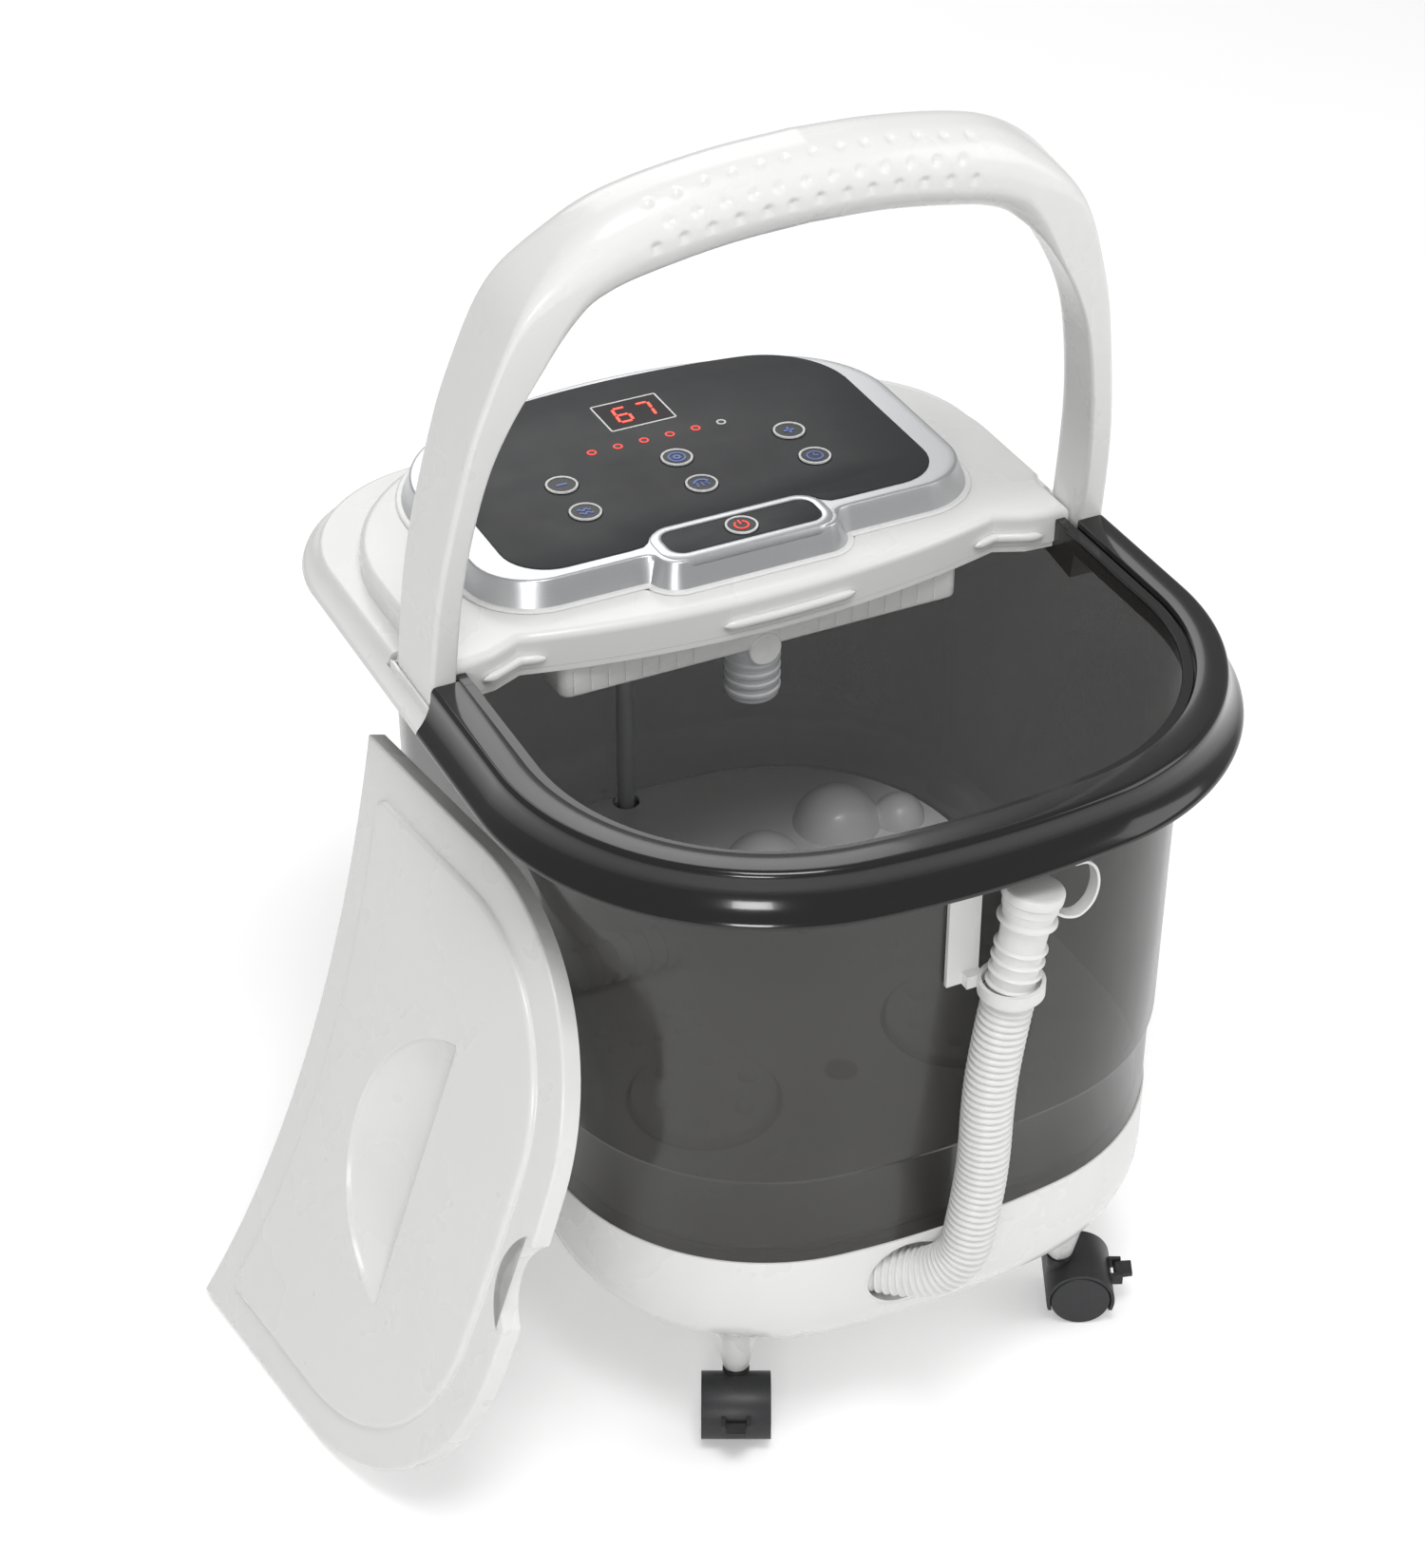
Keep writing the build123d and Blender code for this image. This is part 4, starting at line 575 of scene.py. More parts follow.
def lip_section(top):
    """The rim's outer band: a flat top, a rounded shoulder, a hollow flank and a thin lip."""
    section = [(3.6, top - 4.4), (3.6, top - 0.5), (3.75, top - 0.15), (4.1, top), (15.8, top)]
    section += arc_points((16.5, top), (18.6, top - 0.9), (19.6, top - 3.0))
    section += arc_points((19.7, top - 3.4), (22.3, top - 14.2), (27.3, top - 21.6), 10)
    section += [(28.2, top - 23.0), (28.5, top - 24.2), (28.2, top - 25.4), (27.4, top - 25.8)]
    section += [(26.4, top - 25.6)]
    section += arc_points((24.6, top - 24.8), (19.2, top - 15), (17.0, top - 5.5))
    section += [(16.0, top - 3.1), (6.6, top - 3.1)]
    return section


def build_rim(sizes):
    """Gloss black rim: an inner ledge, a groove and the overhanging lip, as one band."""
    top = sizes.rim_top / MM
    path, half_width = front_path(sizes)
    section = [(-3.2, top - 6), (-3.2, top - 4.0), (-2.7, top - 3.4), (2.2, top - 3.4)]
    section += [(2.6, top - 3.8), (2.7, top - 4.6), (3.3, top - 4.8)] + lip_section(top)
    section += [(6.6, top - 6.4), (3, top - 6.4), (3, top - 18), (0.3, top - 18), (0.3, top - 6)]
    band = carry(path, -3.4, half_width, section)
    rings_to_solid("rim_band", band * MM, "black_rim", "root", ("rim",), crease=40)


def build_ledge_ends(sizes):
    """The rim's inner ledge runs on beside the handle to the rear cover."""
    top = sizes.rim_top / MM
    half_width = sizes.half_width / MM
    section = [(-3.2, -6), (-3.2, -4.0), (-2.7, -3.4), (2.2, -3.4), (2.6, -3.8), (2.6, -6.4)]
    section += [(3, -6.4), (3, -18), (0.3, -18), (0.3, -6)]
    out, level = np.array(section).T
    ends = []
    for side in (-1, 1):
        x = side * (half_width + out)
        rings = [np.column_stack([x, np.full(len(x), y), top + level]) for y in (-3.6, 7.4)]
        ends.append(rings_to_solid("ledge", np.array(rings) * MM, "black_rim", "root"))
    joined(ends, "rim_ledge_ends")


def build_inside():
    """The pieces inside the tub and the base keep their CAD shapes and get their finishes."""
    finishes = {
        "grey_floor": ("massage_floor", "disc_left", "disc_right", "roller_left", "roller_right"),
        "motor_grey": ("massage_motors", "pump_motor", "pump_body", "pump_impeller"),
        "heater_steel": ("heater_tube",),
        "pipe_clear": ("shower_pipe",),
        "board_green": ("power_board", "circuit_board"),
        "white_body": ("base_plate", "cover_base", "hose_outlet"),
        "steel": ("base_screws", "caster_stems", "water_sensor"),
    }
    for slot, nodes in finishes.items():
        for node in nodes:
            repaint(node, slot)


# ------------------------------------------------------------------ rear
def build_skirt():
    """The white skirt under the rear cover keeps its CAD shape."""
    repaint("rear_skirt", "white_body")


def cover_bow():
    """The middle of the cover's front edge, a shallow arc from left to right."""
    return np.array(arc_points((-134.0, 17.0), (0.0, 0.0), (134.0, 17.0), 40))


def cover_outline():
    """The rear cover in plan: a bowed front with creased wings, a waist and a round rear."""
    rear = end_arc(178.0, 224.0, 112.0, 98.0, 24)
    right = [(150.0, 10.0), (161.0, 8.0), (173.9, 8.0), (173.9, 36.0), (178.0, 46.0)]
    return np.concatenate([rear, mirrored(right), cover_bow(), right])


def outline_front():
    """The front edge of the cover from left to right."""
    left = [(-174.0, 8.0), (-161.0, 8.0), (-150.0, 10.0)]
    right = [(150.0, 10.0), (161.0, 8.0), (174.0, 8.0)]
    return np.concatenate([left, cover_bow(), right])


def build_cover(sizes):
    """White rear cover: one shell with a rounded upper edge, and three clip bars on its front."""
    top = sizes.cover_top / MM
    outline = cover_outline()
    outer = [(0, 375.2), (0, 380), (0, top - 5.0)] + quarter((0, top - 4.5), (-4.5, top), False, 7)
    cover = loft("cover_shell", outline, outer, "white_body", "root", ("rear_cover",), crease=30)
    hollow = loft("hollow", outline, [(-3, 370), (-3, top - 3.2)], "white_body", "root")
    cut(cover, [hollow])
    bars = []
    edge_x, edge_y = outline_front().T
    for low_x, high_x in ((-157, -121), (-30, 45), (121, 159)):
        x = np.linspace(low_x, high_x, 24)
        front = np.interp(x, edge_x, edge_y)
        taper = np.clip(np.minimum(x - low_x, high_x - x) / 5.0, 0, 1) ** 0.5
        rings = []
        for turn in np.linspace(0, 2 * math.pi, 16, endpoint=False):
            depth = front - 1.2 - 2.2 * taper * max(-0.4, math.cos(turn))
            height = BAR_LEVEL + 2.6 * math.sin(turn) * np.maximum(taper, 0.15)
            rings.append(np.column_stack([x, depth, height]))
        rings = np.array(rings).transpose(1, 0, 2)
        bars.append(rings_to_solid("bar", rings * MM, "white_body", "root", crease=60))
    joined(bars, "cover_clip_bars")


# ------------------------------------------------------------------ control panel
def bezel_outline():
    """The bezel in plan: straight sides, a round rear, round front corners and a small pod."""
    rear = end_arc(136.0, 215.0, 62.0, 140.0, 20)
    corner = arc_points((-136.0, 70.0), (-126.6, 47.4), (-104.0, 38.0), 12)
    pod = [(-60.0, 38.0), (-54.5, 37.3), (-51.0, 35.4)]
    pod += arc_points((-50.0, 33.0), (-47.2, 26.8), (-41.0, 24.0), 8)
    left = corner + pod
    return np.concatenate([rear, left, mirrored(left)])


def panel_outline():
    """The black panel in plan, notched at the front round the pod."""
    rear = end_arc(121.0, 211.0, 50.0, 155.0, 20)
    left = arc_points((-121.0, 70.0), (-113.4, 51.6), (-95.0, 44.0), 10) + [(-60.0, 44.0)]
    left += [(-53, 44.6), (-49, 47.5), (-46, 52), (-41.0, 54.5), (-36.0, 55.0)]
    return np.concatenate([rear, left, mirrored(left)])


def rounded_box(half_x, low_y, high_y, radius, steps=7):
    """A rounded rectangle in plan, anticlockwise."""
    across, low, high = half_x - radius, low_y + radius, high_y - radius
    points = []
    centres = ((across, high), (-across, high), (-across, low), (across, low))
    for start, centre in zip((0, 90, 180, 270), centres):
        turn = np.radians(np.linspace(start, start + 90, steps))
        points.append(centre + radius * np.column_stack([np.cos(turn), np.sin(turn)]))
    return np.concatenate(points)


KEYS = {
    "key_temp_down": (-65.8, 117.5),
    "key_red_light": (0.0, 117.5),
    "key_temp_up": (65.8, 117.5),
    "key_massage": (-65.8, 87.5),
    "key_shower": (0.0, 87.5),
    "key_timer": (65.8, 87.5),
    "key_power": (0.0, 41.0),
}


def build_panel(sizes):
    """Silver bezel on a white foot ring, a raised pod ring and two black sheets of film, with a
    round well for each key."""
    low = sizes.cover_top / MM
    top = sizes.panel_top / MM
    outline = bezel_outline()
    flank = [(6.0, low), (5.6, low + 1.4), (1.6, top - 4.0), (1.0, top - 2.2)]
    flank += quarter((0.9, top - 2.0), (-1.2, top - 0.6), False, 6) + [(-4, top - 0.6)]
    body = loft("bezel_body", outline, flank, "silver_bezel", "root", ("panel_bezel",), crease=30)
    foot = [(7.5, low), (8.6, low + 0.4), (8.6, low + 1.0), (7.8, low + 1.5), (3.0, low + 1.6)]
    loft("bezel_foot", outline, foot, "white_body", "root", crease=30)
    film = [(-0.2, top - 0.9), (-0.2, top - 0.15), (-0.5, top)]
    panel = loft("panel_film", panel_outline(), film, "black_panel", "root", ("control_panel",))
    inset = rounded_box(43.0, 29.0, 52.0, 8.0)
    ring = [(0, top - 1), (0, top + 0.2), (0.6, top + 0.5), (3.4, top + 0.5), (5.2, top - 0.2)]
    ring += [(6.4, top - 2), (6.8, top - 5), (4, top - 5)]
    loft("pod_ring", inset, ring, "silver_bezel", "root", closed=True, crease=30)
    pod = loft("pod_film", inset, film, "black_panel", "root", ("pod_plate",))
    bore = sizes.key_radius / MM + KEY_GAP
    well = [(bore, KEY_FOOT - 3), (bore, top + 5)]
    for piece in (body, panel, pod):
        wells = [
            turned("well", well, (x, y, 0), "black_panel", "root", steps=64)
            for x, y in KEYS.values()
        ]
        cut(piece, [joined(wells, "wells")])


def stroke(points, width, height, slot, body, name="stroke", closed=False):
    """A flat raised line of a given width through points in plan, in millimetres."""
    points = np.asarray(points, dtype=float)
    ahead = np.gradient(points, axis=0)
    if closed:
        ahead = np.roll(points, -1, axis=0) - np.roll(points, 1, axis=0)
    ahead /= np.maximum(np.linalg.norm(ahead, axis=1, keepdims=True), 1e-9)
    side = np.column_stack([-ahead[:, 1], ahead[:, 0]]) * width / 2
    low, high = (np.full(len(points), level) for level in height)
    left, right = points + side, points - side
    corners = ((left, low), (left, high), (right, high), (right, low))
    rings = np.stack([np.column_stack(corner) for corner in corners], axis=1)
    return rings_to_solid(name, rings * MM, slot, body, closed=closed)


def circle(centre, radius, start=0.0, end=360.0, steps=24):
    """Points of an arc in plan."""
    turn = np.radians(np.linspace(start, end, steps, endpoint=abs(end - start) < 359.9))
    return np.array(centre) + radius * np.column_stack([np.cos(turn), np.sin(turn)])


def key_sign(name, x, y, level):
    """The plain sign on a key: minus, plus, rays, waves, spray, clock hands or power."""
    where = (x, y)
    blue = ("sign_blue", name)
    red = ("red_lamp", name)
    minus = [(x - 3, y), (x, y), (x + 3, y)]
    if name == "key_temp_down":
        return [stroke(minus, 1.3, level, *blue)]
    if name == "key_temp_up":
        upright = [(x, y - 3), (x, y), (x, y + 3)]
        return [stroke(minus, 1.3, level, *blue), stroke(upright, 1.3, level, *blue)]
    if name == "key_red_light":
        return [
            stroke(circle(where, 4.4), 0.9, level, *blue, closed=True),
            stroke(circle(where, 1.6), 1.2, level, *blue, closed=True),
        ]
    if name == "key_massage":
        run = np.linspace(-3.6, 3.6, 13)
        wave = y + 0.9 * np.sin(run * 1.7)
        return [
            stroke(np.column_stack([x + run, wave + lift]), 1.0, level, *blue)
            for lift in (-1.7, 1.7)
        ]
    if name == "key_shower":
        parts = [stroke(circle((x, y - 0.6), 4.2, 20, 160, 16), 1.2, level, *blue)]
        for step in (-2.4, 0, 2.4):
            drop = [(x + step, y + 0.8), (x + step * 1.2, y - 1.2), (x + step * 1.4, y - 3.2)]
            parts.append(stroke(drop, 0.7, level, *blue))
        return parts
    if name == "key_timer":
        hands = [(x, y + 2.6), (x, y + 0.1), (x, y), (x + 0.1, y), (x + 2.0, y)]
        return [
            stroke(circle(where, 4.2), 0.8, level, *blue, closed=True),
            stroke(hands, 0.9, level, *blue),
        ]
    bar = [(x, y + 0.8), (x, y + 2.6), (x, y + 4.6)]
    arc = circle(where, 3.6, 120, 420, 24)
    return [stroke(arc, 1.0, level, *red), stroke(bar, 1.0, level, *red)]


def build_keys(sizes):
    """Round key caps with silver rings and plain signs, each on its own key's body."""
    top = sizes.panel_top / MM
    radius = sizes.key_radius / MM
    cap = [(0, KEY_FOOT), (radius - 0.2, KEY_FOOT), (radius - 0.2, top + 0.1)]
    cap += [(radius - 0.8, top + 0.6), (0, top + 0.6)]
    for name, (x, y) in KEYS.items():
        turned(name + "_cap", cap, (x, y, 0), "key_black", name, stands_for=(name,))
        ring = circle((x, y), radius - 0.8, steps=48)
        stroke(ring, 1.15, (top + 0.2, top + 1.0), "line_white", name, name + "_ring", closed=True)
        joined(key_sign(name, x, y, (top + 0.4, top + 0.9)), name + "_sign")


def build_display(sizes):
    """Display window with a white outline, two lit figures and a row of six lamps."""
    top = sizes.panel_top / MM
    level = (top - 0.3, top + 0.25)
    window = rounded_box(18.6, 158.0, 186.0, 0.8, 4)
    glass = [(0, top - 1.5), (0, top + 0.1)]
    loft("window_glass", window, glass, "display", "root", ("display_window",))
    border = rounded_box(18.8, 157.8, 186.2, 0.8, 4)
    stroke(border, 0.9, level, "line_white", "root", "window_line", closed=True)
    bars = {"a": (0, 1), "b": (1, 0.5), "c": (1, -0.5), "d": (0, -1)}
    bars.update({"e": (-1, -0.5), "f": (-1, 0.5), "g": (0, 0)})
    figures = []
    for x, lit in ((-6.2, "acdefg"), (7.2, "abc")):
        for bar in lit:
            column, row = bars[bar]
            flat = bar in "adg"
            middle = np.array((x + column * 3.8, 172.0 + row * 7.4))
            reach = np.array((2.9, 0.0)) if flat else np.array((0.25, 2.9))
            lean = np.array((row * 0.7, 0.0))
            points = [middle + lean - reach, middle + lean, middle + lean + reach]
            figures.append(stroke(points, 1.5, (top, top + 0.3), "figure_red", "root"))
    joined(figures, "figures")
    dot = [(0, top - 0.5), (1.6, top - 0.5), (1.6, top + 0.05), (0, top + 0.15)]
    for number in range(6):
        x = 15.1 * (number - 2.5)
        slot = "red_lamp" if number < 5 else "line_white"
        ring = f"lamp_ring_{number + 1}"
        stroke(circle((x, LAMP_ROW), 2.2), 0.9, level, slot, "root", ring, closed=True)
        lamp = f"lamp_{number + 1}"
        stands = ("status_lights",) if number == 0 else ()
        turned(lamp, dot, (x, LAMP_ROW, 0), "key_black", "root", stands_for=stands, steps=20)


# ------------------------------------------------------------------ shower
def build_shower():
    """White shower bar with a ribbed front, its nozzle plates and a ribbed filter cup."""
    bar = rounded_box(113.0, 14.0, 42.0, 6.0)
    profile = quarter((-2.5, BAR_UNDER), (0, BAR_UNDER + 2.5), True, 4)
    profile += quarter((0, BAR_OVER - 2.5), (-2.5, BAR_OVER), False, 4)
    loft("bar_shell", bar, profile, "white_body", "root", ("shower_bar",), crease=30)
    ribs = []
    for x in np.concatenate([np.arange(-106.0, -30.0, 9.5), np.arange(32.0, 108.0, 9.5)]):
        rib = np.array([(x - 0.6, 13.2), (x + 0.6, 13.2), (x + 0.6, 15.0), (x - 0.6, 15.0)])
        rings = [np.column_stack([rib, np.full(4, z)]) for z in (BAR_UNDER + 3, BAR_OVER - 4)]
        ribs.append(rings_to_solid("rib", np.array(rings) * MM, "white_body", "root"))
    joined(ribs, "bar_ribs")
    tab = [(0, 0), (8.6, 0), (9.0, 0.5), (9.0, 2.4), (8.4, 3.0), (0, 3.0)]
    turned("bar_tab", tab, (0, 15.0, BAR_UNDER), "white_body", "root", axis=(0, -1, 0))
    repaint("nozzle_plates", "white_body")
    cup = [(0, -34), (13.2, -34), (14, -33)]
    for ring in range(5):
        level = -6.4 - 6 * (4 - ring)
        cup += [(14, level - 0.2), (15, level + 0.4), (15, level + 2.0), (14, level + 2.6)]
    cup += [(14, 0), (11.5, 0), (11.5, -31), (0, -31)]
    where = (0, 28.0, BAR_UNDER)
    turned("cup_shell", cup, where, "pipe_clear", "root", stands_for=("filter_cup",))


# ------------------------------------------------------------------ handle
def smooth_path(points, steps):
    """A Catmull-Rom curve through points, with the same number of steps between each pair."""
    points = np.asarray(points, dtype=float)
    padded = np.concatenate([[2 * points[0] - points[1]], points, [2 * points[-1] - points[-2]]])
    t = np.linspace(0, 1, steps, endpoint=False)[:, None]
    out = []
    for a, b, c, d in zip(padded, padded[1:], padded[2:], padded[3:]):
        square = (2 * a - 5 * b + 4 * c - d) * t**2
        cube = (3 * b - a - 3 * c + d) * t**3
        out.append(0.5 * (2 * b + (c - a) * t + square + cube))
    out.append(points[-1:])
    return np.concatenate(out)


def rounded_sections(corners, radii, steps=7):
    """Four-cornered sections with each corner rounded by a short curve; arrays of stations."""
    rings = []
    t = np.linspace(0, 1, steps)[None, :, None]
    pull = 0.55  # how far a curve's handles reach towards the corner
    for index in range(4):
        here = corners[:, index]
        before = corners[:, index - 1] - here
        after = corners[:, (index + 1) % 4] - here
        reach = radii[:, index, None]
        start = here + before / np.linalg.norm(before, axis=1, keepdims=True) * reach
        end = here + after / np.linalg.norm(after, axis=1, keepdims=True) * reach
        low = start + (here - start) * pull
        high = end + (here - end) * pull
        curve = (
            (1 - t) ** 3 * start[:, None]
            + 3 * (1 - t) ** 2 * t * low[:, None]
            + 3 * (1 - t) * t**2 * high[:, None]
            + t**3 * end[:, None]
        )
        rings.append(curve)
    return np.concatenate(rings, axis=1)


HANDLE_INNER = (
    (174.6, -33.5),
    (174.6, 0.0),
    (171.2, 60.0),
    (162.0, 112.0),
    (150.0, 145.0),
    (132.5, 174.5),
    (117.0, 190.5),
    (101.0, 200.0),
    (78.0, 206.0),
    (40.0, 212.0),
    (0.0, 214.0),
)
HANDLE_OUTER = (
    (188.4, -33.5),
    (188.4, 0.0),
    (184.6, 58.0),
    (173.6, 122.0),
    (163.5, 160.0),
    (147.5, 200.5),
    (127.0, 224.5),
    (105.0, 239.5),
    (79.0, 247.5),
    (40.0, 253.0),
    (0.0, 255.0),
)
DIMPLE_ROWS = ((19.0, 13), (11.0, 12), (1.5, 13))  # height on the grip's front, and how many
DIMPLE_PITCH = 13.6
DIMPLE_RADIUS = 3.3
DIMPLE_DEPTH = 1.5


def evenly(mid, curves, coarse, fine, turn_x):
    """Resample curves by the run of a middle line: coarse steps on the legs, fine ones beyond."""
    run = np.concatenate([[0], np.cumsum(np.linalg.norm(np.diff(mid, axis=0), axis=1))])
    change = np.interp(-turn_x, -mid[:, 0], run)
    legs = np.linspace(0, change, int(change / coarse) + 1)[:-1]
    grip = np.linspace(change, run[-1], int((run[-1] - change) / fine) + 1)
    spots = np.concatenate([legs, grip])
    return [
        np.column_stack([np.interp(spots, run, line) for line in curve.T]) for curve in curves
    ]


def soft_step(value, start, end):
    """0 before start, 1 past end, with a smooth rise between."""
    part = np.clip((value - start) / (end - start), 0, 1)
    return part * part * (3 - 2 * part)


def dimpled(points, plan, depth):
    """Press rows of round dimples into the grip's front: each sinks its skin towards the middle
    by a cap that fades out at the dimple's radius."""
    inward = points.mean(axis=1, keepdims=True) - points
    inward /= np.linalg.norm(inward, axis=2, keepdims=True)
    front = depth < 20.0
    for level, count in DIMPLE_ROWS:
        for number in range(count):
            x = (number - (count - 1) / 2) * DIMPLE_PITCH
            station = np.abs(plan[:, :, 0].mean(axis=1) - x).argmin()
            height = plan[station, :, 1] - plan[station, :, 1].mean()
            column = np.where(front[station], np.abs(height - level), np.inf).argmin()
            centre = points[station, column]
            away = np.linalg.norm(points - centre, axis=2)
            press = np.clip(1 - (away / DIMPLE_RADIUS) ** 2, 0, 1) ** 1.3
            points = points + inward * (press * DIMPLE_DEPTH)[:, :, None]
    return points


def build_handle(sizes):
    """Handle: leaning legs with a slanted rear face that turn into a thick round grip. Between
    an inner and an outer curve, a four-cornered section is carried whose corners grow rounder."""
    lean = sizes.lean
    up = np.array((0, -math.sin(lean), math.cos(lean)))
    back = np.array((0, math.cos(lean), math.sin(lean)))
    foot = np.array((0, -3.0, 392.0))
    inner = smooth_path(HANDLE_INNER, 24)
    outer = smooth_path(HANDLE_OUTER, 24)
    inner, outer = evenly((inner + outer) / 2, (inner, outer), 4.0, 1.15, 112.0)
    inner = np.concatenate([inner, inner[-2::-1] * (-1, 1)])
    outer = np.concatenate([outer, outer[-2::-1] * (-1, 1)])
    thick = np.linalg.norm(outer - inner, axis=1)
    across = np.abs(inner + outer)[:, 0] / 2
    fill = soft_step(-across, -158.0, -104.0)
    swell = soft_step(-across, -150.0, -104.0)
    zero = np.zeros_like(thick)
    corners = np.stack(
        [
            np.column_stack([zero, zero]),
            np.column_stack([thick, zero]),
            np.column_stack([thick, 45.0 - 1.0 * fill]),
            np.column_stack([zero, 30.0 + 14.0 * fill]),
        ],
        axis=1,
    )
    leg_radii = np.array((2.0, 3.0, 5.0, 5.0))
    radii = leg_radii * (1 - swell[:, None]) + 19.0 * swell[:, None]
    radii = np.minimum(radii, 0.46 * thick[:, None])
    sections = rounded_sections(corners, radii, 26)
    direction = (outer - inner) / thick[:, None]
    plan = inner[:, None, :] + direction[:, None, :] * sections[:, :, :1]
    side = np.array((1.0, 0, 0))
    points = foot + plan[:, :, :1] * side + plan[:, :, 1:] * up + sections[:, :, 1:] * back
    points = dimpled(points, plan, sections[:, :, 1])
    shells = ("handle_front", "handle_back")
    rings_to_solid("handle_shell", points * MM, "white_body", "handle", shells, crease=32)


# ------------------------------------------------------------------ drain hose
HOSE_POINTS = (
    (-0.0383, -0.1879, 0.1102),
    (-0.0200, -0.2070, 0.1110),
    (-0.0050, -0.2205, 0.1290),
    (-0.0020, -0.2230, 0.1580),
    (0.0020, -0.2235, 0.1920),
    (0.0025, -0.2230, 0.2320),
    (0.0060, -0.2230, 0.2650),
    (0.0103, -0.2230, 0.2900),
)


def spline_points(points):
    """Points along the smooth curve whose control points are given."""
    curve = bpy.data.curves.new("route", "CURVE")
    curve.dimensions = "3D"
    line = curve.splines.new("NURBS")
    line.points.add(len(points) - 1)
    for knot, point in zip(line.points, points):
        knot.co = (*point, 1)
    line.order_u = 3
    line.use_endpoint_u = True
    line.resolution_u = 40
    holder = bpy.data.objects.new("route", curve)
    mesh = bpy.data.meshes.new_from_object(holder)
    path = np.empty(len(mesh.vertices) * 3)
    mesh.vertices.foreach_get("co", path)
    bpy.data.objects.remove(holder)
    bpy.data.curves.remove(curve)
    bpy.data.meshes.remove(mesh)
    return path.reshape(-1, 3)


def along_path(path, count):
    """Evenly spaced points on a path, their directions and distances."""
    step = np.linalg.norm(np.diff(path, axis=0), axis=1)
    keep = np.concatenate([[True], step > 1e-9])
    path = path[keep]
    run = np.concatenate([[0], np.cumsum(np.linalg.norm(np.diff(path, axis=0), axis=1))])
    spots = np.linspace(0, run[-1], count)
    points = np.column_stack([np.interp(spots, run, path[:, axis]) for axis in range(3)])
    ahead = np.gradient(points, axis=0)
    return points, ahead / np.linalg.norm(ahead, axis=1, keepdims=True), spots


def tube_rings(points, ahead, radii, steps=40):
    """Rings of a tube along a path, without twist, from a radius at each point."""
    sides = np.empty_like(points)
    side = np.cross(ahead[0], (0.0, 0.0, 1.0))
    for index, direction in enumerate(ahead):
        side = side - direction * side.dot(direction)
        side /= np.linalg.norm(side)
        sides[index] = side
    other = np.cross(ahead, sides)
    turn = np.linspace(0, 2 * math.pi, steps, endpoint=False)[None, :, None]
    ring = np.cos(turn) * sides[:, None, :] + np.sin(turn) * other[:, None, :]
    return points[:, None, :] + ring * radii[:, None, None]


def path_length(path):
    """The run of a path from end to end."""
    return np.linalg.norm(np.diff(path, axis=0), axis=1).sum()


def build_hose(sizes):
    """Ribbed drain hose: its radius swells once in every pitch along the route's curve."""
    path = spline_points(HOSE_POINTS)
    run = path_length(path)
    count = int(round(run / sizes.hose_pitch))
    points, ahead, spots = along_path(path, count * 10 + 1)
    phase = spots / run * count % 1.0
    crest = np.clip(1 - np.abs(phase - 0.5) / 0.36, 0, 1)
    crest = np.sqrt(np.clip(1 - (1 - crest) ** 2, 0, 1))
    depth = 1.7 * MM
    radii = sizes.hose_width / 2 - depth + depth * crest
    rings = tube_rings(points, ahead, radii, 48)
    rings_to_solid("hose_tube", rings, "white_hose", "root", ("drain_hose",), crease=80)


def declare_hose():
    """Traces the hose's route again, and keeps nothing of it."""
    path = spline_points(HOSE_POINTS)


CUFF_LENGTH = 57.9  # from the hose's end to the mouth that the cap closes


def build_fitting():
    """Hose end: five rings, a smooth cuff, a flange, the cap and its strap, held by a bracket."""
    start = np.array(HOSE_POINTS[-1]) / MM
    axis = start - np.array(HOSE_POINTS[-2]) / MM
    axis /= np.linalg.norm(axis)
    cuff = [(9.5, 0), (11.6, 0)]
    for ring in range(5):
        level = 2.5 + 7.0 * ring
        cuff += [(11.4, level - 0.3), (12.6, level + 0.1), (13.1, level + 0.6), (13.1, level + 1.0)]
        cuff += [(12.6, level + 1.5), (11.4, level + 1.9)]
    cuff += [(11.5, 38), (12.0, 45), (14.2, 45.4), (14.6, 45.9), (14.6, 47.1), (14.2, 47.6)]
    cuff += [(12.4, 48)]
    cuff += [(12.9, 52.6), (13.7, 53.4), (13.7, 57.4), (13.2, CUFF_LENGTH), (9.5, CUFF_LENGTH)]
    turned("cuff_shell", cuff, start, "white_hose", "root", axis, ("hose_cuff",))
    cap = [(0, 49.2), (9.3, 49.2), (9.3, 58.0), (13.6, 58.0), (14.9, 58.6), (15.0, 60.2)]
    cap += [(15.0, 62.4)]
    cap += [(14.6, 63.4), (13.6, 63.9), (12.0, 63.9), (0, 63.7)]
    turned("cap_shell", cap, start, "white_hose", "hose_cap", axis, ("hose_cap",))
    corner = start + axis * 56.25 + np.array((14.7, 0, -2.2))
    loop = [(-2.0, 0, -8.0), (3.5, 0, -11.5), (10.5, 0, -12.5), (17.0, 0, -7.0)]
    loop += [(19.5, 0, 2.5), (17.6, 0, 12.0), (12.5, 0, 17.2), (6.0, 0, 18.0)]
    centre = smooth_path(corner + np.array(loop), 6)
    ahead = np.gradient(centre, axis=0)
    ahead /= np.linalg.norm(ahead, axis=1, keepdims=True)
    half_thick = np.cross(ahead, (0.0, 1.0, 0.0)) * 0.7
    half_width = np.array((0, 3.5, 0))
    offsets = [(-1, 1), (1, 1), (1, -1), (-1, -1)]
    rings = np.stack([centre + half_width * a + half_thick * b for a, b in offsets], axis=1)
    rings_to_solid("strap_band", rings * MM, "white_hose", "root", ("cap_strap",), crease=50)
    repaint("hose_bracket", "white_hose")
    declare_hose()


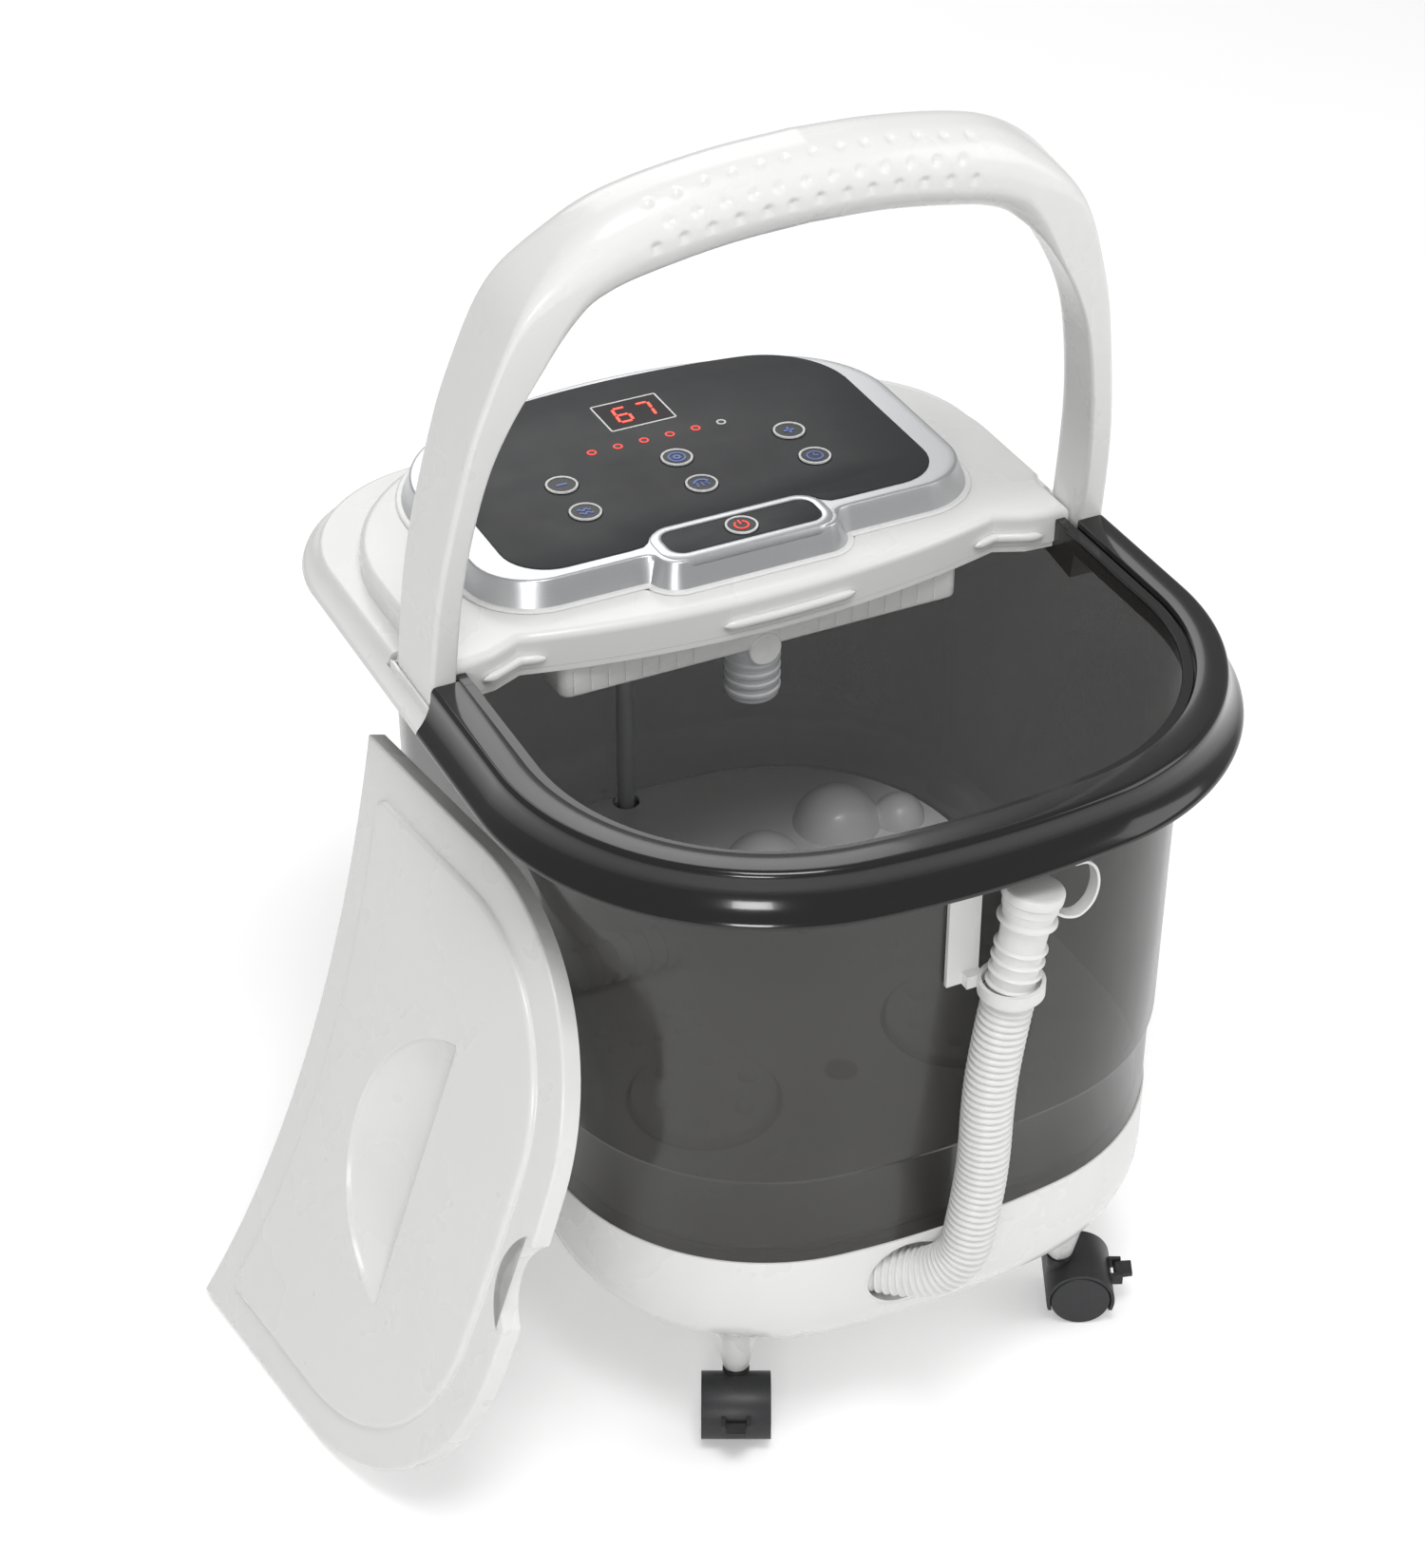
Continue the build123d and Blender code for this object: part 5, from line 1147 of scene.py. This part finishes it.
# ------------------------------------------------------------------ casters
def build_casters():
    """Casters keep their CAD shapes, with a small bevel on their edges."""
    for corner in ("fl", "fr", "rl", "rr"):
        for part in ("hood", "wheels", "brake"):
            node = f"caster_{part}_{corner}"
            repaint(node, "black_caster")
            edge = frame["nodes"][node].modifiers.new("edge", "BEVEL")
            edge.width = 0.5 * MM
            edge.segments = 2
            edge.limit_method = "ANGLE"
            edge.angle_limit = math.radians(40)
    repaint("cord_gland", "black_caster")


# ------------------------------------------------------------------ lid
def lid_outline():
    """The lid in plan as it lies on the tub: round front with a notch, bowed-in rear."""
    front = -end_arc(LID_HALF, 206.0, 124.0, 81.0, 24)
    ends = ((LID_HALF, LID_REAR), (-LID_HALF, LID_REAR))
    rear = np.array(arc_points(ends[0], (0.0, 10.6), ends[1], 40))
    notch = np.array(arc_points((-24.0, -205.4), (0.0, -194.0), (24.0, -205.4), 14))
    before = front[front[:, 0] < -25.0]
    after = front[front[:, 0] > 25.0]
    return np.concatenate([rear, before, notch, after])


LID_TURN = math.radians(-82.744)  # where the lid's front points, from above
LID_TILT = math.radians(20.813)  # how far it leans from upright
LID_FOOT = (-317.657, 53.632)  # its lowest rear corner on the floor
LID_HALF, LID_REAR, LID_THICK = 171.0, 36.7, 11.0
CHORD = -110.0  # the straight edge of the hand recess


def build_lid():
    """Lid leaning on the tub: a shell with a raised field and a half-moon hand recess, whose
    bowl sinks by a quarter sine from its lip to its floor."""
    turn, tilt = LID_TURN, LID_TILT
    forward = np.array((math.cos(turn), math.sin(turn), 0))
    inward = np.array((-math.sin(turn), math.cos(turn), 0))
    up = inward * math.sin(tilt) + np.array((0, 0, math.cos(tilt)))
    out = np.cross(forward, up)
    out = out if out[0] < 0 else -out
    origin = np.array((*LID_FOOT, LID_THICK * out[2])) + up * LID_HALF + forward * LID_REAR

    def settle(piece):
        """Move a piece from its plan to the place where the lid leans."""
        flat = np.empty(len(piece.data.vertices) * 3)
        piece.data.vertices.foreach_get("co", flat)
        flat = flat.reshape(-1, 3) / MM
        placed = origin + flat[:, :1] * up - flat[:, 1:2] * forward + flat[:, 2:] * out
        piece.data.vertices.foreach_set("co", (placed * MM).ravel())
        piece.data.update()

    outline = lid_outline()
    rim = [(-2.5, -2.5), (-2.5, -LID_THICK), (-1.0, -LID_THICK), (0, -10.4), (0, -1.8)]
    rim += quarter((0, -1.6), (-1.6, 0), False, 5) + [(-6, 0)]
    shell = loft("lid_shell", outline, rim, "white_body", "lid", ("lid",), crease=30)
    field = [(0.8, -0.6), (0.5, 0.0)] + quarter((0.2, 0.3), (-2.8, 3.0), False, 7) + [(-6.0, 3.0)]
    raised = loft("lid_field", lid_field(21.0), field, "white_body", "lid", crease=30)
    moon = moon_outline()
    cutter_profile = [(-2.0, -6.0), (0.0, -3.0), (0.0, 1.8), (1.4, 3.2), (1.4, 6.0)]
    for piece in (raised, shell):
        cut(piece, [loft("moon", moon, cutter_profile, "white_body", "lid")])
    away = miter(moon)
    deep = np.column_stack([moon[:, 0] * 0.80, CHORD + 1.0 + (moon[:, 1] - CHORD) * 0.34])

    def level(share, grow, height):
        """A ring of the bowl: its share of the way in to the floor, its growth and its height."""
        spots = moon * (1 - share) + deep * share + away * grow
        return np.column_stack([spots, np.full(len(spots), height)])

    bowl = [level(t, 0, 1.6 - 13.6 * math.sin(t * math.pi / 2)) for t in np.linspace(1, 0, 12)]
    lip = [level(0, 0.2, 2.4), level(0, 0.7, 2.9), level(0, 1.3, 3.0), level(0, 2.0, 1.0)]
    under = [level(t, 2.0, -1.0 - 13.0 * math.sin(t * math.pi / 2)) for t in np.linspace(0, 1, 6)]
    rings = np.array(bowl + lip + under) * MM
    dish = rings_to_solid("lid_dish", rings, "white_body", "lid", crease=50)
    for piece in (shell, raised, dish):
        settle(piece)


def lid_field(inset):
    """The raised field's outline: the lid's own outline drawn in, with its corners rounded."""
    side = LID_HALF - inset
    front = -end_arc(side, 206.0 - inset, 124.0 - inset, 81.0, 24)
    tip, other_tip = (side - 9, 30.5 - inset), (9 - side, 30.5 - inset)
    rear = np.array(arc_points(tip, (0.0, 10.6 - inset), other_tip, 40))
    right = np.array(arc_points((side, 24.0 - inset), (side - 2.6, 29.6 - inset), tip, 6))
    left = right[::-1] * (-1, 1)
    return np.concatenate([rear[1:-1], left, front, right])


def moon_outline():
    """The hand recess in plan: an arc closed by a straight front edge, its two tips rounded."""
    arc = np.array(arc_points((76.0, -107.5), (0.0, -50.0), (-76.0, -107.5), 48))
    tips = np.array(((-76.6, CHORD + 1.0), (-75.4, CHORD)))
    chord = np.column_stack([np.linspace(-72, 72, 25), np.full(25, CHORD)])
    return np.concatenate([arc, tips, chord, tips[::-1] * (-1, 1)])


# ------------------------------------------------------------------ stage
def area_light(name, place, aim, size, power):
    """A soft square lamp that points at a spot."""
    lamp = bpy.data.lights.new(name, "AREA")
    lamp.size = size
    lamp.energy = power
    holder = bpy.data.objects.new(name, lamp)
    holder.location = place
    away = np.array(place) - np.array(aim)
    level = math.hypot(away[0], away[1])
    holder.rotation_euler = (math.atan2(level, away[2]), 0, math.atan2(away[0], -away[1]))
    bpy.context.scene.collection.objects.link(holder)


CAMERA_PLACE = (-0.6700, -1.3057, 1.3083)
CAMERA_DOWN = 35.13  # degrees below level
CAMERA_TURN = -25.89
CAMERA_LENS = 79.16
FLOOR_HALF = 6.0
FLOOR_GLOW = 0.26  # what lifts the floor to white for the camera, gloss and glass
DAYLIGHT = 0.40  # strength of the surroundings as a light
LAMPS = (
    ("front_lamp", (-1.25, -2.1, 1.05), (0, -0.1, 0.35), 0.55, 14),
    ("key_lamp", (-0.3, -0.9, 2.4), (0, 0, 0.25), 0.8, 21),
    ("fill_lamp", (1.9, -1.2, 1.5), (0, 0, 0.3), 1.4, 12),
    ("rear_lamp", (0.3, 1.9, 2.0), (0, 0, 0.3), 1.6, 16),
)


def build_stage():
    """Camera, pale floor, white surroundings and soft lamps."""
    scene = bpy.context.scene
    view = bpy.data.cameras.new("camera")
    view.lens = CAMERA_LENS
    view.sensor_width = 36.0
    holder = bpy.data.objects.new("camera", view)
    holder.location = CAMERA_PLACE
    holder.rotation_euler = (math.radians(90 - CAMERA_DOWN), 0, math.radians(CAMERA_TURN))
    scene.collection.objects.link(holder)
    scene.camera = holder
    half = FLOOR_HALF
    corners = [(-half, -half, 0), (half, -half, 0), (half, half, 0), (-half, half, 0)]
    ground = bpy.data.meshes.new("floor")
    ground.from_pydata(corners, [], [(0, 1, 2, 3)])
    floor = bpy.data.objects.new("floor", ground)
    scene.collection.objects.link(floor)
    paint = Finish("floor_paint", (0.94, 0.94, 0.94), 0.7)
    paint.tint(paint.noise(3.0), (0.93, 0.93, 0.93), (0.95, 0.95, 0.95))
    seen = paint.node("ShaderNodeLightPath")
    glossy = paint.node("ShaderNodeLightPath", outlet="Is Glossy Ray")
    through = paint.node("ShaderNodeLightPath", outlet="Is Transmission Ray")
    paint.shader.inputs["Emission Color"].default_value = (1, 1, 1, 1)
    paint.feed("Emission Strength", (seen + glossy + through) * FLOOR_GLOW)
    floor.data.materials.append(paint.material)
    world = bpy.data.worlds.new("surroundings")
    world.use_nodes = True
    tree = world.node_tree
    dim = tree.nodes["Background"]
    dim.inputs["Color"].default_value = (1, 1, 1, 1)
    dim.inputs["Strength"].default_value = DAYLIGHT
    bright = tree.nodes.new("ShaderNodeBackground")
    bright.inputs["Strength"].default_value = 1.0
    path = tree.nodes.new("ShaderNodeLightPath")
    choice = tree.nodes.new("ShaderNodeMixShader")
    tree.links.new(path.outputs["Is Camera Ray"], choice.inputs[0])
    tree.links.new(dim.outputs[0], choice.inputs[1])
    tree.links.new(bright.outputs[0], choice.inputs[2])
    tree.links.new(choice.outputs[0], tree.nodes["World Output"].inputs[0])
    scene.world = world
    for lamp in LAMPS:
        area_light(*lamp)
    scene.view_settings.view_transform = "Standard"


# ------------------------------------------------------------------ operators
class SPA_OT_stage(Operator):
    """Set the camera, the floor and the lamps"""

    bl_idname = "spa.stage"
    bl_label = "Stage"

    def execute(self, context):
        build_stage()
        return {"FINISHED"}


class SPA_OT_finishes(Operator):
    """Make every finish from the scene's colours"""

    bl_idname = "spa.finishes"
    bl_label = "Finishes"

    def execute(self, context):
        make_materials(context.scene.spa_colours)
        return {"FINISHED"}


class SPA_OT_base(Operator):
    """Build the white base and its caster bosses"""

    bl_idname = "spa.base"
    bl_label = "Base"

    def execute(self, context):
        build_base(context.scene.spa_sizes)
        return {"FINISHED"}


class SPA_OT_tub(Operator):
    """Build the smoked tub"""

    bl_idname = "spa.tub"
    bl_label = "Tub"

    def execute(self, context):
        build_tub(context.scene.spa_sizes)
        return {"FINISHED"}


class SPA_OT_rim(Operator):
    """Build the gloss black rim"""

    bl_idname = "spa.rim"
    bl_label = "Rim"

    def execute(self, context):
        build_rim(context.scene.spa_sizes)
        return {"FINISHED"}


class SPA_OT_ledge_ends(Operator):
    """Build the rim's ledge ends beside the handle"""

    bl_idname = "spa.ledge_ends"
    bl_label = "Ledge ends"

    def execute(self, context):
        build_ledge_ends(context.scene.spa_sizes)
        return {"FINISHED"}


class SPA_OT_inside(Operator):
    """Finish the massage floor, pump, heater and boards"""

    bl_idname = "spa.inside"
    bl_label = "Inside"

    def execute(self, context):
        build_inside()
        return {"FINISHED"}


class SPA_OT_skirt(Operator):
    """Finish the white rear skirt"""

    bl_idname = "spa.skirt"
    bl_label = "Skirt"

    def execute(self, context):
        build_skirt()
        return {"FINISHED"}


class SPA_OT_cover(Operator):
    """Build the white rear cover and its clip bars"""

    bl_idname = "spa.cover"
    bl_label = "Cover"

    def execute(self, context):
        build_cover(context.scene.spa_sizes)
        return {"FINISHED"}


class SPA_OT_panel(Operator):
    """Build the silver bezel and the black film"""

    bl_idname = "spa.panel"
    bl_label = "Panel"

    def execute(self, context):
        build_panel(context.scene.spa_sizes)
        return {"FINISHED"}


class SPA_OT_keys(Operator):
    """Build the key caps, rings and signs"""

    bl_idname = "spa.keys"
    bl_label = "Keys"

    def execute(self, context):
        build_keys(context.scene.spa_sizes)
        return {"FINISHED"}


class SPA_OT_display(Operator):
    """Build the display and the row of lamps"""

    bl_idname = "spa.display"
    bl_label = "Display"

    def execute(self, context):
        build_display(context.scene.spa_sizes)
        return {"FINISHED"}


class SPA_OT_shower(Operator):
    """Build the shower bar and the filter cup"""

    bl_idname = "spa.shower"
    bl_label = "Shower"

    def execute(self, context):
        build_shower()
        return {"FINISHED"}


class SPA_OT_handle(Operator):
    """Build the carrying handle"""

    bl_idname = "spa.handle"
    bl_label = "Handle"

    def execute(self, context):
        build_handle(context.scene.spa_sizes)
        return {"FINISHED"}


class SPA_OT_hose(Operator):
    """Build the ribbed drain hose"""

    bl_idname = "spa.hose"
    bl_label = "Hose"

    def execute(self, context):
        build_hose(context.scene.spa_sizes)
        return {"FINISHED"}


class SPA_OT_fitting(Operator):
    """Build the hose's cuff, cap, strap and bracket"""

    bl_idname = "spa.fitting"
    bl_label = "Fitting"

    def execute(self, context):
        build_fitting()
        return {"FINISHED"}


class SPA_OT_casters(Operator):
    """Finish the four casters"""

    bl_idname = "spa.casters"
    bl_label = "Casters"

    def execute(self, context):
        build_casters()
        return {"FINISHED"}


class SPA_OT_lid(Operator):
    """Build the leaning lid"""

    bl_idname = "spa.lid"
    bl_label = "Lid"

    def execute(self, context):
        build_lid()
        return {"FINISHED"}


OPERATORS = (
    SPA_OT_stage,
    SPA_OT_finishes,
    SPA_OT_base,
    SPA_OT_tub,
    SPA_OT_rim,
    SPA_OT_ledge_ends,
    SPA_OT_inside,
    SPA_OT_skirt,
    SPA_OT_cover,
    SPA_OT_panel,
    SPA_OT_keys,
    SPA_OT_display,
    SPA_OT_shower,
    SPA_OT_handle,
    SPA_OT_hose,
    SPA_OT_fitting,
    SPA_OT_casters,
    SPA_OT_lid,
)


class SPA_PT_panel(Panel):
    """Sizes, colours and steps of the foot spa."""

    bl_label = "Foot spa"
    bl_idname = "SPA_PT_panel"
    bl_space_type = "VIEW_3D"
    bl_region_type = "UI"
    bl_category = "Foot spa"

    def draw(self, context):
        layout = self.layout
        for group in (context.scene.spa_sizes, context.scene.spa_colours):
            for name in group.bl_rna.properties.keys():
                if name not in ("rna_type", "name"):
                    layout.prop(group, name)
        for step in OPERATORS:
            layout.operator(step.bl_idname)


CLASSES = (SpaSizes, SpaColours, *OPERATORS, SPA_PT_panel)


def register():
    for part in CLASSES:
        bpy.utils.register_class(part)
    bpy.types.Scene.spa_sizes = PointerProperty(type=SpaSizes)
    bpy.types.Scene.spa_colours = PointerProperty(type=SpaColours)


def unregister():
    del bpy.types.Scene.spa_colours
    del bpy.types.Scene.spa_sizes
    for part in reversed(CLASSES):
        bpy.utils.unregister_class(part)


def main():
    """Build everything in order."""
    register()
    bpy.ops.spa.stage()
    bpy.ops.spa.finishes()
    bpy.ops.spa.base()
    bpy.ops.spa.tub()
    bpy.ops.spa.rim()
    bpy.ops.spa.ledge_ends()
    bpy.ops.spa.inside()
    bpy.ops.spa.skirt()
    bpy.ops.spa.cover()
    bpy.ops.spa.panel()
    bpy.ops.spa.keys()
    bpy.ops.spa.display()
    bpy.ops.spa.shower()
    bpy.ops.spa.handle()
    bpy.ops.spa.hose()
    bpy.ops.spa.fitting()
    bpy.ops.spa.casters()
    bpy.ops.spa.lid()


if __name__ == "__main__":
    main()
